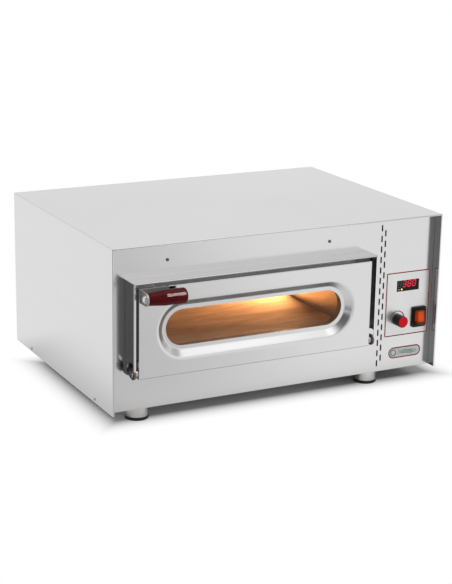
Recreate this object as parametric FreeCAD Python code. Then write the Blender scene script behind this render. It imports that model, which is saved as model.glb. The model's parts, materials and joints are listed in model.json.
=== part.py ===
import FreeCAD
import Part
import math
import os

# Countertop pizza oven with one baking chamber, a drop-down door and a control bay.
# Sizes are millimetres. +Z is up, the door faces -Y and the controls are at +X.
# The pieces are built about the middle of the casing's footprint, with Z = 0 at the
# casing's lower edge, and save() moves them to the part's own origin.

Vector = FreeCAD.Vector

# ---------------------------------------------------------------- driving sizes

fit_gap = 0.3                 # loose fit between parts that are screwed or laid together
running_clearance = 0.05      # radial clearance of a turning pin or shaft
press_clearance = 0.02        # radial clearance of a part that is pressed or bonded in

# casing
casing_width = 640.0
casing_depth = 463.0
casing_height = 286.0
casing_sheet = 1.0
casing_bend = 2.5             # outer radius of the two long top bends
hem_width = 3.0               # closed hem round the casing's front edge
hem_return = 32.0             # how far the hem's inner sheet reaches back
hem_nose = 1.2                # rounding of the hem's folded edge
rear_flange = 12.0

# base tray and feet
tray_sheet = 1.2
tray_flange = 14.0
foot_height = 33.0
foot_sleeve_radius = 20.0
foot_sleeve_wall = 1.5
foot_pad_radius = 20.5
foot_pad_height = 6.0
foot_pad_round = 1.4
foot_pad_overlap = 1.0        # pad's plug starts this far below the sleeve's lower end
foot_bolt_radius = 4.0
foot_bolt_head_radius = 7.2
foot_bolt_head = 5.0
foot_bolt_recess = 3.5        # bolt's head above the table
foot_bolt_reach = 9.0         # length of bolt above the tray's lower face
foot_nut_radius = 6.5         # round nuts welded on the tray
foot_nut_height = 6.5
foot_left_inset = 72.0        # feet's axes from the casing's edges
foot_right_inset = 108.5
foot_front_inset = 65.5
foot_rear_inset = 65.5
tray_vent_count = 7
tray_vent_length = 60.0
tray_vent_width = 4.0
tray_vent_spacing = 12.0

# front panel
front_recess = 18.6           # panel's face behind the casing's front edge
panel_sheet = 1.2
panel_flange = 12.0

# two columns of slots that keep the chamber's heat out of the control bay
slot_length = 12.0
slot_width = 3.0
slot_column_inset = 114.9     # first column from the casing's right side
slot_column_spacing = 7.4
slot_top_inset = 19.5         # highest slot's middle below the casing's top
slot_bottom_rise = 15.4       # lowest slot's middle above the casing's lower edge
slot_count = 14

# door, placed by its distances from the casing's edges
door_left_inset = 39.8
door_right_inset = 154.2
door_top_inset = 66.8
door_bottom = 63.4
door_sheet = 1.0
door_bend = 1.5
door_setback = 2.5            # door's face behind the collar's front lip
door_back_gap = 3.5           # between the door's back and the front panel
door_side_gap = 5.7           # between the door's edge and the collar's lip
door_top_gap = 7.2            # between the door's upper edge and the collar's top lip
door_return = 12.0            # inward flange that the inner panel is screwed to

# collar round the door
collar_depth = 35.5
collar_sheet = 1.0
collar_lip = 4.0              # width of its left lip
collar_right_lip = 2.5
collar_top_lip = 2.0
collar_bend = 1.2             # outer radius of its folded front and rear edges
collar_foot_rise = 2.6        # collar's lower edge above the door's lower edge
collar_weld_flange = 7.0
collar_notch_radius = 19.5    # cut in its side walls round the hinge

# hinge
pivot_setback = 6.9           # hinge axis behind the door's face
pivot_rise = 9.6              # hinge axis above the door's lower edge
pin_radius = 4.0
pin_head_radius = 6.5
pin_head_height = 2.5
pin_slot = 1.25               # width and depth of the slot in its head
pin_grip = 15.0               # length of pin held in the hinge block
bush_radius = 5.5
bush_flange_radius = 6.6
bracket_thickness = 3.0
bracket_eye_radius = 10.0
bracket_arm_height = 6.5
bracket_foot_width = 8.0
bracket_foot_thickness = 2.0
bracket_foot_height = 21.5
hinge_block_width = 16.0
hinge_block_height = 20.0
hinge_block_depth = 12.0

# window
window_side_margin = 35.0     # dish's outer edge from the door's edges
window_end_margin = 27.3      # and from its upper and lower edges
dish_run = 12.5               # width of the sloping wall, seen from the front
dish_depth = 11.0
dish_rim = 6.5                # flat rim between the sloping wall and the opening
dish_bend = 9.0               # where the wall turns in from the door's face
dish_foot_bend = 3.0          # and where it meets the rim
dish_border = 6.0             # flat sheet kept round the dish's outer bend
glass_thickness = 4.0
glass_overlap = 9.0           # glass beyond the opening on each side
glass_seal_thickness = 1.0
glass_seal_inset = 0.5        # seal's inner edge outside the opening
tunnel_clearance = 2.5        # inner panel's tunnel outside the opening
tunnel_sheet = 1.0

# handle
handle_forward = 22.5         # grip's axis in front of the door's face
handle_drop = 12.4            # grip's axis below the door's upper edge
handle_plate = 3.0
handle_flange_width = 52.0
handle_flange_drop = 0.6      # flange's upper edge below the door's upper edge
handle_flange_height = 22.6
handle_inset = 1.2            # lug's outer face inside the door's edge
lug_radius = 10.8
grip_length = 69.5
grip_radius = 13.0
grip_end_radius = 10.0        # at the lug, where the taper starts
grip_end_round = 1.0
grip_taper_length = 31.0
grip_taper_blend = 6.0        # radius between the taper and the straight part
grip_round = 4.0
handle_bolt_radius = 4.0
handle_bolt_head_radius = 7.3
handle_bolt_head_height = 4.6
handle_bolt_reach = 42.0      # length of bolt inside the grip

# baking chamber
chamber_side_inset = 18.0     # chamber's side walls inside the door's edges
chamber_rear_inset = 82.0     # chamber's rear wall from the casing's back
chamber_sheet = 1.0
mouth_sheet = 1.2
mouth_border = 22.0
mouth_frame_rise = 13.0       # frame's upper edge above the panel screws
mouth_headroom = 3.0          # chamber's ceiling above the mouth's upper edge
seal_width = 8.0
seal_round = 1.6
seal_outer_corner = 7.0
seal_inner_corner = 1.5
seal_inset = 1.5              # between the mouth's edge and the seal
seal_swing_gap = 0.8          # between the seal and the door's swinging lower edge
door_over_seal = 6.3          # door beyond the seal's upper edge
panel_mouth_gap = 0.6         # panel's opening outside the seal
stone_thickness = 14.0
stone_rise = 1.0              # stone's top above the mouth's lower edge
stone_side_gap = 2.0
stone_end_gap = 1.5
stone_edge = 1.5
rail_height = 19.0
rail_sheet = 1.5
rail_top_width = 17.0
rail_foot_width = 12.0
support_sheet = 1.5
support_flange = 25.0
support_end_inset = 15.0      # supports' ends inside the chamber's side walls
support_front_inset = 90.0    # front support behind the mouth
support_rear_inset = 60.0     # rear support in front of the chamber's back

# heating elements: two serpentine tubes with four legs each
element_radius = 4.2
element_hole_gap = 0.8
element_leg_count = 4
element_leg_inset = 45.0      # outer legs from the chamber's front and back
element_wall_gap = 11.0       # bends' clearance from the chamber's side walls
element_ceiling_gap = 8.0     # axis of the upper element below the ceiling
element_floor_gap = 8.5       # axis of the lower element above the chamber's floor
element_tail = 18.0           # end of the element beyond the partition
hanger_sheet = 1.2
hanger_width = 14.0
hanger_margin = 8.0
hanger_inset = 85.0           # hangers from the chamber's side walls
bead_radius = 7.7             # ceramic bush: flange on the partition
bead_length = 8.0
bead_sleeve_radius = 6.0      # and sleeve through it

# insulation
insulation_side = 45.0
insulation_top = 50.0
insulation_rear = 45.0
nut_pocket_radius = 9.0       # room in the insulation for the feet's nuts and bolts
nut_pocket_top = 13.0

# lamp in the chamber's right wall
lamp_rear_inset = 129.5       # lamp's axis in front of the chamber's back
lamp_cup_radius = 20.0
lamp_cup_wall = 1.0
lamp_cup_depth = 40.0
lamp_flange_radius = 24.0
lamp_flange_thickness = 1.0
lamp_socket_depth = 12.0
lamp_lens_radius = 21.0
lamp_lens_rim = 2.0
lamp_lens_crown = 5.0
lamp_lens_glass = 2.0
lamp_bulb_radius = 6.0
lamp_bulb_length = 26.0

# temperature probe through the chamber's right wall
probe_radius = 3.0
probe_rear_inset = 19.5
probe_drop = 16.0             # below the ceiling
probe_reach = 48.0            # inside the chamber
probe_tail = 10.0             # beyond the partition

# partition, control label and badge; the controls are placed from the casing's right side
partition_sheet = 1.0
partition_flange = 10.0
label_thickness = 0.3
label_width = 93.4
label_height = 119.8
label_right_inset = 7.8
label_bottom = 62.1
label_corner = 1.8
badge_width = 69.1
badge_height = 21.2
badge_right_inset = 21.1
badge_bottom = 19.8
badge_thickness = 0.4

# display
display_width = 47.4
display_height = 20.4
display_right_inset = 31.4
display_top_inset = 16.1      # below the label's upper edge
display_window_thickness = 2.0
display_block_depth = 8.0
display_block_inset = 0.8
board_thickness = 1.6
board_margin = 17.0
board_corner = 2.0
board_tongue_width = 36.0
board_tongue_foot = 17.0      # below the knob's axis

# temperature knob
knob_right_inset = 75.4
knob_rise = 31.8              # above the label's lower edge
knob_radius = 10.5
knob_projection = 22.0        # knob's front face in front of the panel
knob_back_gap = 0.8           # between the knob and the label
knob_recess_radius = 7.2
knob_recess_depth = 4.0
knob_cap_radius = 9.6
knob_cap_proud = 1.0
knob_cap_sunk = 1.0
knob_cap_round = 0.5
knob_edge = 0.8
shaft_radius = 3.0
shaft_grip = 12.0             # length of shaft inside the knob
shaft_foot = 4.0              # length of shaft inside the potentiometer
pot_bush_radius = 3.5
pot_bush_reach = 4.8          # bush in front of the panel's face
pot_body_radius = 8.5
pot_nut_across = 11.0
pot_nut_height = 2.4

# lit rocker switch under a clear boot
switch_right_inset = 29.5
switch_rise = 31.9            # above the label's lower edge
switch_frame_width = 30.0
switch_frame_height = 38.0
switch_frame_thickness = 4.0
switch_frame_corner = 3.5
switch_frame_round = 1.0
switch_body_width = 21.6
switch_body_height = 29.6
switch_body_depth = 28.0
boot_width = 19.0
boot_height = 27.0
boot_wall = 0.8
boot_corner = 3.0
boot_round = 1.5
boot_play = 0.5               # between the boot and the rocker's furthest reach
rocker_width = 13.4
rocker_height = 20.0
rocker_face = 11.0            # middle of the rocker's face in front of its pivot
rocker_crown = 1.6            # ends of the face beyond its middle
rocker_root = 4.0
rocker_waist = 1.0            # where its ends turn in, in front of the pivot
rocker_end_taper = 1.0
rocker_root_taper = 4.0
rocker_round = 1.0
rocker_tilt = 9.0             # degrees each way
rocker_pivot_depth = 2.2      # pivot behind the label's face
rocker_pocket_gap = 3.0       # pocket's floor behind the rocker
rocker_side_gap = 0.2
rocker_end_gap = 0.4
rocker_stub_radius = 1.2
rocker_stub_length = 1.0
blade_width = 6.3
blade_thickness = 0.8
blade_length = 8.0

# power parts in the control bay
relay_width = 30.0
relay_depth = 32.0
relay_height = 38.0
relay_round = 1.5
relay_rear_inset = 171.5
relay_rise = 120.0
terminal_length = 60.0
terminal_depth = 24.0
terminal_height = 22.0
terminal_right_inset = 88.0
terminal_rear_inset = 81.5
terminal_ways = 5
terminal_screw_hole = 3.6
terminal_screw_depth = 8.8
terminal_wire_hole = 2.4
terminal_wire_rise = 6.6

# back panel and cable gland
back_sheet = 1.0
back_vent_count = 8
back_vent_length = 45.0
back_vent_width = 3.6
back_vent_spacing = 11.0
back_vent_right_inset = 27.0
back_vent_top_inset = 116.0
gland_right_inset = 64.0
gland_rise = 44.0
gland_radius = 10.0
gland_bore = 5.5
gland_hex = 24.0
gland_hex_height = 5.0
gland_cap_radius = 11.0
gland_cap_round = 3.0
gland_length = 18.0           # gland behind the back panel
gland_thread_end = 3.0        # thread beyond the locknut
locknut_hex = 26.0
locknut_height = 5.0

# screws
screw_radius = 1.6
screw_length = 7.0
screw_head_radius = 2.8
screw_head_height = 1.4
screw_head_round = 0.8
screw_recess_length = 2.6
screw_recess_width = 0.5
screw_recess_depth = 0.8
screw_clearance = 0.2
side_screw_rise = 6.0
side_screw_front_inset = 79.5
side_screw_rear_inset = 78.5
panel_screw_left_inset = 106.3
panel_screw_right_inset = 223.0
panel_screw_drop = 32.5       # below the casing's top
back_screw_inset = 6.5
back_screw_side_inset = 120.0 # upper and lower rows, from the casing's sides
back_screw_end_inset = 66.0   # side rows, from the casing's top and bottom
door_screw_inset = 4.0        # from the door's edge
door_screw_end = 30.0         # end screws from the door's lower and upper edge

# ---------------------------------------------------------------- worked-out places

casing_left = -casing_width / 2
casing_right = casing_width / 2
casing_front = -casing_depth / 2
casing_back = casing_depth / 2
wall_left = casing_left + casing_sheet
wall_right = casing_right - casing_sheet
back_front = casing_back - back_sheet

panel_front = casing_front + front_recess
panel_back = panel_front + panel_sheet
panel_left = casing_left + hem_width + fit_gap
panel_right = casing_right - hem_width - fit_gap
panel_bottom = tray_sheet
panel_top = casing_height - hem_width - fit_gap
panel_flange_back = panel_front + panel_flange
slot_pitch = (casing_height - slot_top_inset - slot_bottom_rise) / (slot_count - 1)

collar_front = panel_front - collar_depth
door_front = collar_front + door_setback
door_back = panel_front - door_back_gap
door_left = casing_left + door_left_inset
door_right = casing_right - door_right_inset
door_top = casing_height - door_top_inset
door_width = door_right - door_left
door_height = door_top - door_bottom
door_centre_x = (door_left + door_right) / 2
door_half = door_width / 2
lip_half = door_half + door_side_gap
collar_half = lip_half + collar_lip
collar_top = door_top + door_top_gap + collar_top_lip
collar_bottom = door_bottom + collar_foot_rise
bracket_outer = collar_half - collar_sheet

pivot_y = door_front + pivot_setback
pivot_z = door_bottom + pivot_rise

# the lower back corner of the door sweeps a circle, and the seal stays above it
swing_radius = math.hypot(door_back - pivot_y, pivot_rise)
seal_front = door_back + fit_gap
seal_bottom = pivot_z + seal_swing_gap + math.sqrt(
    max(0.0, swing_radius ** 2 - (seal_front - pivot_y) ** 2))
seal_top = door_top - door_over_seal
mouth_bottom = seal_bottom + seal_width + seal_inset
mouth_top = seal_top - seal_width - seal_inset
chamber_half = door_half - chamber_side_inset
seal_inner_half = chamber_half + seal_inset
seal_outer_half = seal_inner_half + seal_width

chamber_x = door_centre_x
chamber_left = chamber_x - chamber_half
chamber_right = chamber_x + chamber_half
mouth_back = panel_back + mouth_sheet
chamber_back = casing_back - chamber_rear_inset
ceiling = mouth_top + mouth_headroom
stone_top = mouth_bottom + stone_rise
stone_bottom = stone_top - stone_thickness
chamber_floor = stone_bottom - rail_height
floor_underside = chamber_floor - chamber_sheet

partition_x = chamber_right + chamber_sheet + insulation_side + fit_gap
upper_element_z = ceiling - element_ceiling_gap
lower_element_z = chamber_floor + element_floor_gap
first_leg_y = mouth_back + element_leg_inset
last_leg_y = chamber_back - element_leg_inset
leg_step = (last_leg_y - first_leg_y) / (element_leg_count - 1)
element_left = chamber_left + element_wall_gap
element_right = chamber_right - element_wall_gap
element_end = partition_x + partition_sheet + element_tail
lamp_y = chamber_back - lamp_rear_inset
lamp_z = (stone_top + ceiling) / 2
probe_y = chamber_back - probe_rear_inset
probe_z = ceiling - probe_drop

window_x = door_centre_x
window_z = (door_bottom + door_top) / 2
window_width = door_width - 2 * window_side_margin
window_height = door_height - 2 * window_end_margin
opening_width = window_width - 2 * (dish_run + dish_rim)
opening_height = window_height - 2 * (dish_run + dish_rim)
window_straight = window_width - window_height
rim_back = door_front + dish_depth + door_sheet
glass_front = rim_back + glass_seal_thickness
glass_back = glass_front + glass_thickness
inner_front = door_back - door_sheet

grip_y = door_front - handle_forward
grip_z = door_top - handle_drop
lug_left = door_left + handle_inset
grip_left = lug_left + handle_plate

label_front = panel_front - label_thickness
label_right = casing_right - label_right_inset
label_left = label_right - label_width
label_top = label_bottom + label_height
badge_x = casing_right - badge_right_inset - badge_width / 2
badge_z = badge_bottom + badge_height / 2
display_right = casing_right - display_right_inset
display_left = display_right - display_width
display_top = label_top - display_top_inset
display_bottom = display_top - display_height
board_front = label_front + display_window_thickness + display_block_depth

knob_x = casing_right - knob_right_inset
knob_z = label_bottom + knob_rise
knob_front = panel_front - knob_projection
knob_back = label_front - knob_back_gap
knob_face = knob_front + knob_cap_proud
cap_seat = knob_face + knob_cap_sunk
shaft_front = knob_back - shaft_grip
bush_front = panel_front - pot_bush_reach
nut_front = label_front - pot_nut_height

switch_x = casing_right - switch_right_inset
switch_z = label_bottom + switch_rise
switch_pivot_y = label_front + rocker_pivot_depth
rocker_reach = ((rocker_face + rocker_crown) * math.cos(math.radians(rocker_tilt))
                + rocker_height / 2 * math.sin(math.radians(rocker_tilt)))
boot_front = switch_pivot_y - rocker_reach - boot_play - boot_wall

gland_x = casing_right - gland_right_inset
terminal_x = casing_right - terminal_right_inset
terminal_y = casing_back - terminal_rear_inset
relay_y = casing_back - relay_rear_inset
relay_left = partition_x + partition_sheet

front_most = grip_y - max(lug_radius, grip_radius)
back_most = casing_back + gland_length
origin_shift = Vector(0, -(front_most + back_most) / 2, foot_height)
beyond = 1.0                  # how far a cutting tool reaches past the face it cuts


# ---------------------------------------------------------------- shape helpers

def box(x0, x1, y0, y1, z0, z1):
    return Part.makeBox(x1 - x0, y1 - y0, z1 - z0, Vector(x0, y0, z0))


def rod_x(x0, x1, y, z, radius):
    return Part.makeCylinder(radius, x1 - x0, Vector(x0, y, z), Vector(1, 0, 0))


def rod_y(y0, y1, x, z, radius):
    return Part.makeCylinder(radius, y1 - y0, Vector(x, y0, z), Vector(0, 1, 0))


def rod_z(z0, z1, x, y, radius):
    return Part.makeCylinder(radius, z1 - z0, Vector(x, y, z0), Vector(0, 0, 1))


def fused(shapes):
    result = shapes[0]
    for shape in shapes[1:]:
        result = result.fuse(shape)
    return result.removeSplitter()


def cut_all(shape, tools):
    return shape.cut(Part.makeCompound(tools))


def corner_points(before, corner, after, radius):
    """Start, middle and end of the arc that rounds one corner of a path."""
    back = (before - corner).normalize()
    ahead = (after - corner).normalize()
    half = back.getAngle(ahead) / 2
    reach = radius / math.tan(half)
    bisector = (back + ahead).normalize()
    middle = corner + bisector * (radius / math.sin(half) - radius)
    return corner + back * reach, middle, corner + ahead * reach


def path_wire(points, radii, closed):
    """Straight runs through the points, with a tangent arc where a radius is given."""
    count = len(points)
    stops = []
    for index, (point, radius) in enumerate(zip(points, radii)):
        at_end = not closed and index in (0, count - 1)
        if at_end or radius <= 0:
            stops.append((point, None, point))
        else:
            following = points[(index + 1) % count]
            stops.append(corner_points(points[index - 1], point, following, radius))
    edges = []
    for index, (start, middle, end) in enumerate(stops):
        if middle is not None:
            edges.append(Part.Arc(start, middle, end).toShape())
        if index + 1 < count or closed:
            following = stops[(index + 1) % count][0]
            if end.distanceToPoint(following) > 1e-6:
                edges.append(Part.LineSegment(end, following).toShape())
    return Part.Wire(edges)


def plate_y(corners, radii, y0, y1):
    """Plate facing Y, from (x, z) corners and the radius at each."""
    wire = path_wire([Vector(x, y0, z) for x, z in corners], radii, True)
    return Part.Face(wire).extrude(Vector(0, y1 - y0, 0))


def plate_x(corners, radii, x0, x1):
    """Plate facing X, from (y, z) corners and the radius at each."""
    wire = path_wire([Vector(x0, y, z) for y, z in corners], radii, True)
    return Part.Face(wire).extrude(Vector(x1 - x0, 0, 0))


def rounded_plate_y(x0, x1, z0, z1, y0, y1, radius):
    corners = [(x0, z0), (x1, z0), (x1, z1), (x0, z1)]
    return plate_y(corners, [radius] * 4, y0, y1)


def obround_y(x, z, width, height, y0, y1):
    """Plate facing Y with two half-round ends, either wide or tall."""
    radius = min(width, height) / 2
    along_x = max(0.0, width / 2 - radius)
    along_z = max(0.0, height / 2 - radius)
    if along_x > along_z:
        middle = box(x - along_x, x + along_x, y0, y1, z - radius, z + radius)
    else:
        middle = box(x - radius, x + radius, y0, y1, z - along_z, z + along_z)
    first = rod_y(y0, y1, x - along_x, z - along_z, radius)
    last = rod_y(y0, y1, x + along_x, z + along_z, radius)
    return fused([middle, first, last])


def hexagon_y(x, z, across, y0, y1):
    radius = across / math.sqrt(3)
    angles = [math.radians(60 * step) for step in range(6)]
    corners = [(x + radius * math.cos(angle), z + radius * math.sin(angle))
               for angle in angles]
    return plate_y(corners, [0] * len(corners), y0, y1)


def dome_x(base, height, y, z, radius):
    """Cap of a ball, flat at X = base and standing out towards -X."""
    ball_radius = (radius ** 2 + height ** 2) / (2 * height)
    ball = Part.makeSphere(ball_radius, Vector(base - height + ball_radius, y, z))
    return ball.common(rod_x(base - height - beyond, base, y, z, radius))


def front_edges(shape, y):
    """The edges that lie in the plane at that Y, at the shape's front."""
    return [edge for edge in shape.Edges if edge.BoundBox.YMax < y + 1e-6]


def facing(shape, direction, place):
    """Turn a shape made along +Z to point along direction, and set it at place."""
    moved = shape.copy()
    turn = FreeCAD.Rotation(Vector(0, 0, 1), direction)
    moved.Placement = FreeCAD.Placement(place, turn)
    return moved


def pan_screw(direction, place):
    """Pan-head screw with a cross recess; place is on the clamped face under the head."""
    head = Part.makeCylinder(screw_head_radius, screw_head_height)
    rim = [edge for edge in head.Edges if edge.BoundBox.ZMin > screw_head_height - 1e-6]
    head = head.makeFillet(screw_head_round, rim)
    half = screw_recess_length / 2
    side = screw_recess_width / 2
    floor = screw_head_height - screw_recess_depth
    cross = [box(-half, half, -side, side, floor, screw_head_height + beyond),
             box(-side, side, -half, half, floor, screw_head_height + beyond)]
    shank = Part.makeCylinder(screw_radius, screw_length, Vector(0, 0, -screw_length))
    return facing(cut_all(head, cross).fuse(shank), direction, place)


def screw_hole(direction, place):
    """Clearance hole for a pan-head screw through the sheets that it clamps."""
    depth = screw_length + beyond
    hole = Part.makeCylinder(screw_radius + screw_clearance, 2 * depth, Vector(0, 0, -depth))
    return facing(hole, direction, place)


def screws(places):
    return Part.makeCompound([pan_screw(direction, place) for direction, place in places])


def screw_holes(places):
    return [screw_hole(direction, place) for direction, place in places]


def span(side, inner, outer):
    """Two X values at distances from the door's centre line, lowest first."""
    ends = (door_centre_x + side * inner, door_centre_x + side * outer)
    return min(ends), max(ends)


def on_both_sides(build):
    """The same piece at the door's left and right; build takes the side's sign."""
    return Part.makeCompound([build(-1), build(1)])


# ---------------------------------------------------------------- places of screws and feet

def casing_screw_places():
    left = Vector(-1, 0, 0)
    right = Vector(1, 0, 0)
    places = []
    for y in (casing_front + side_screw_front_inset, casing_back - side_screw_rear_inset):
        places.append((left, Vector(casing_left, y, side_screw_rise)))
        places.append((right, Vector(casing_right, y, side_screw_rise)))
    side_x = wall_right - back_screw_inset
    row_x = casing_right - back_screw_side_inset
    low_z = tray_sheet + back_screw_inset
    high_z = casing_height - casing_sheet - back_screw_inset
    points = [(row_x, low_z), (row_x, high_z), (side_x, back_screw_end_inset),
              (side_x, casing_height - back_screw_end_inset)]
    for x, z in points:
        places.append((Vector(0, 1, 0), Vector(-x, casing_back, z)))
        places.append((Vector(0, 1, 0), Vector(x, casing_back, z)))
    return places


def panel_screw_places():
    z = casing_height - panel_screw_drop
    return [(Vector(0, -1, 0), Vector(x, panel_front, z))
            for x in (casing_left + panel_screw_left_inset,
                      casing_right - panel_screw_right_inset)]


def door_screw_places():
    heights = (door_bottom + door_screw_end, window_z, door_top - door_screw_end)
    return [(Vector(0, 1, 0), Vector(x, door_back, z))
            for x in (door_left + door_screw_inset, door_right - door_screw_inset)
            for z in heights]


def foot_places():
    return [(x, y)
            for x in (casing_left + foot_left_inset, casing_right - foot_right_inset)
            for y in (casing_front + foot_front_inset, casing_back - foot_rear_inset)]


# ---------------------------------------------------------------- casing

def arch(inset, y0, y1, bottom):
    """Block under the casing's outer surface, inset from its sides and top."""
    radius = max(0.0, casing_bend - inset)
    corners = [(casing_left + inset, bottom), (casing_right - inset, bottom),
               (casing_right - inset, casing_height - inset),
               (casing_left + inset, casing_height - inset)]
    return plate_y(corners, [0, 0, radius, radius], y0, y1)


def arch_sheet(outer, inner, y0, y1, bottom):
    """Sheet folded over the top and sides, between two insets from the outer surface."""
    return arch(outer, y0, y1, bottom).cut(
        arch(inner, y0 - beyond, y1 + beyond, bottom - beyond))


def make_casing_cover():
    """Top and sides in one sheet, hemmed at the front and flanged inwards at the rear."""
    walls = arch_sheet(0, casing_sheet, casing_front, casing_back, 0)
    rim = arch_sheet(0, hem_width, casing_front, casing_front + casing_sheet, 0)
    fold = arch_sheet(hem_width - casing_sheet, hem_width, casing_front,
                      casing_front + hem_return, 0)
    flange = arch_sheet(0, casing_sheet + rear_flange, back_front - casing_sheet,
                        back_front, tray_flange + fit_gap)
    cover = fused([walls, rim, fold, flange])
    nose = [edge for edge in front_edges(cover, casing_front) if edge.BoundBox.ZMax > 1e-6]
    return cut_all(cover.makeFillet(hem_nose, nose), screw_holes(casing_screw_places()))


def tray_vents():
    middle = (partition_x + wall_right) / 2
    left = middle - tray_vent_length / 2
    first = -(tray_vent_count - 1) / 2 * tray_vent_spacing
    vents = []
    for index in range(tray_vent_count):
        y = first + index * tray_vent_spacing
        vents.append(box(left, left + tray_vent_length, y - tray_vent_width / 2,
                         y + tray_vent_width / 2, -beyond, tray_sheet + beyond))
    return vents


def make_base_tray():
    """Floor of the oven with upturned flanges and a nut welded over each foot."""
    left = wall_left + fit_gap
    right = wall_right - fit_gap
    side_front = casing_front + hem_return + fit_gap
    nut_top = tray_sheet + foot_nut_height
    pieces = [
        box(left, right, side_front, back_front, 0, tray_sheet),
        box(panel_left, panel_right, panel_front, side_front, 0, tray_sheet),
        box(left, left + tray_sheet, side_front, back_front, 0, tray_flange),
        box(right - tray_sheet, right, side_front, back_front, 0, tray_flange),
        box(left, right, back_front - tray_sheet, back_front, 0, tray_flange)]
    holes = []
    for x, y in foot_places():
        pieces.append(rod_z(tray_sheet, nut_top, x, y, foot_nut_radius))
        holes.append(rod_z(-beyond, nut_top + beyond, x, y,
                           foot_bolt_radius + press_clearance))
    return cut_all(fused(pieces), holes + tray_vents() + screw_holes(casing_screw_places()))


def make_back_panel():
    panel = arch(casing_sheet + fit_gap, back_front, casing_back, 0)
    front = back_front - beyond
    back = casing_back + beyond
    tools = [rod_y(front, back, gland_x, gland_rise, gland_radius + fit_gap)]
    right = casing_right - back_vent_right_inset
    for index in range(back_vent_count):
        tools.append(obround_y(right - index * back_vent_spacing,
                               casing_height - back_vent_top_inset,
                               back_vent_width, back_vent_length, front, back))
    return cut_all(panel, tools + screw_holes(casing_screw_places()))


def foot_sleeve(x, y):
    """Steel cup, open at the bottom, that the rubber pad plugs into."""
    low = foot_pad_height - foot_height
    cup = rod_z(low, 0, x, y, foot_sleeve_radius)
    hollow = rod_z(low - beyond, -foot_sleeve_wall, x, y,
                   foot_sleeve_radius - foot_sleeve_wall)
    bolt = rod_z(low, beyond, x, y, foot_bolt_radius + fit_gap)
    return cut_all(cup, [hollow, bolt])


def foot_pad(x, y):
    """Rubber pad with a plug up inside the sleeve and a recess for the bolt's head."""
    bottom = -foot_height
    top = bottom + foot_pad_height
    disc = rod_z(bottom, top, x, y, foot_pad_radius)
    rims = [edge for edge in disc.Edges if edge.isClosed()]
    disc = disc.makeFillet(foot_pad_round, rims)
    plug = rod_z(top - foot_pad_overlap, -foot_sleeve_wall, x, y,
                 foot_sleeve_radius - foot_sleeve_wall - fit_gap)
    recess = rod_z(bottom - beyond, bottom + foot_bolt_recess + foot_bolt_head, x, y,
                   foot_bolt_head_radius + fit_gap)
    bolt = rod_z(bottom, beyond, x, y, foot_bolt_radius + fit_gap)
    return cut_all(disc.fuse(plug), [recess, bolt])


def foot_bolt(x, y):
    head_bottom = foot_bolt_recess - foot_height
    head_top = head_bottom + foot_bolt_head
    head = rod_z(head_bottom, head_top, x, y, foot_bolt_head_radius)
    return head.fuse(rod_z(head_top, foot_bolt_reach, x, y, foot_bolt_radius))


def at_each_foot(build):
    return Part.makeCompound([build(x, y) for x, y in foot_places()])


# ---------------------------------------------------------------- front panel and collar

def slot_tools():
    """Two columns of upright slots; the second is staggered by half a pitch."""
    tools = []
    for column in range(2):
        x = casing_right - slot_column_inset + column * slot_column_spacing
        top = casing_height - slot_top_inset - column * slot_pitch / 2
        for index in range(slot_count - column):
            tools.append(obround_y(x, top - index * slot_pitch, slot_width, slot_length,
                                   panel_front - beyond, panel_back + beyond))
    return tools


def mouth_tool():
    gap = seal_outer_half + panel_mouth_gap
    return rounded_plate_y(chamber_x - gap, chamber_x + gap, seal_bottom - panel_mouth_gap,
                           seal_top + panel_mouth_gap, panel_front - beyond,
                           panel_back + beyond, seal_outer_corner + panel_mouth_gap)


def control_tools(y0, y1):
    """Openings for the display window, the potentiometer's bush and the switch."""
    window = box(display_left, display_right, y0, y1, display_bottom, display_top)
    bush = rod_y(y0, y1, knob_x, knob_z, pot_bush_radius + fit_gap)
    switch = switch_block(switch_body_width + 2 * fit_gap, switch_body_height + 2 * fit_gap,
                          y0, y1)
    return [window, bush, switch]


def make_front_panel():
    """Recessed front with a flange turned back along each of its four edges."""
    shell = box(panel_left, panel_right, panel_front, panel_flange_back,
                panel_bottom, panel_top)
    hollow = box(panel_left + panel_sheet, panel_right - panel_sheet, panel_back,
                 panel_flange_back + beyond, panel_bottom + panel_sheet,
                 panel_top - panel_sheet)
    tools = [hollow, mouth_tool()] + slot_tools()
    tools += control_tools(panel_front - beyond, panel_back + beyond)
    return cut_all(shell, tools + screw_holes(panel_screw_places()))


def collar_frame(y0, y1, bottom, left, right, top):
    """Upside-down U round the door's place, open at the bottom, with its three widths."""
    outer = box(door_centre_x - collar_half, door_centre_x + collar_half, y0, y1,
                bottom, collar_top)
    inner = box(door_centre_x - collar_half + left, door_centre_x + collar_half - right,
                y0 - beyond, y1 + beyond, bottom - beyond, collar_top - top)
    return outer.cut(inner)


def bent_collar_block():
    """Block round the collar with its front and rear edges rounded, but not at the bottom."""
    block = box(door_centre_x - collar_half, door_centre_x + collar_half, collar_front,
                panel_front, 0, collar_top)
    bends = [edge for edge in block.Edges
             if edge.BoundBox.YLength < 1e-6 and edge.BoundBox.ZMax > 1e-6]
    return block.makeFillet(collar_bend, bends)


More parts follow.
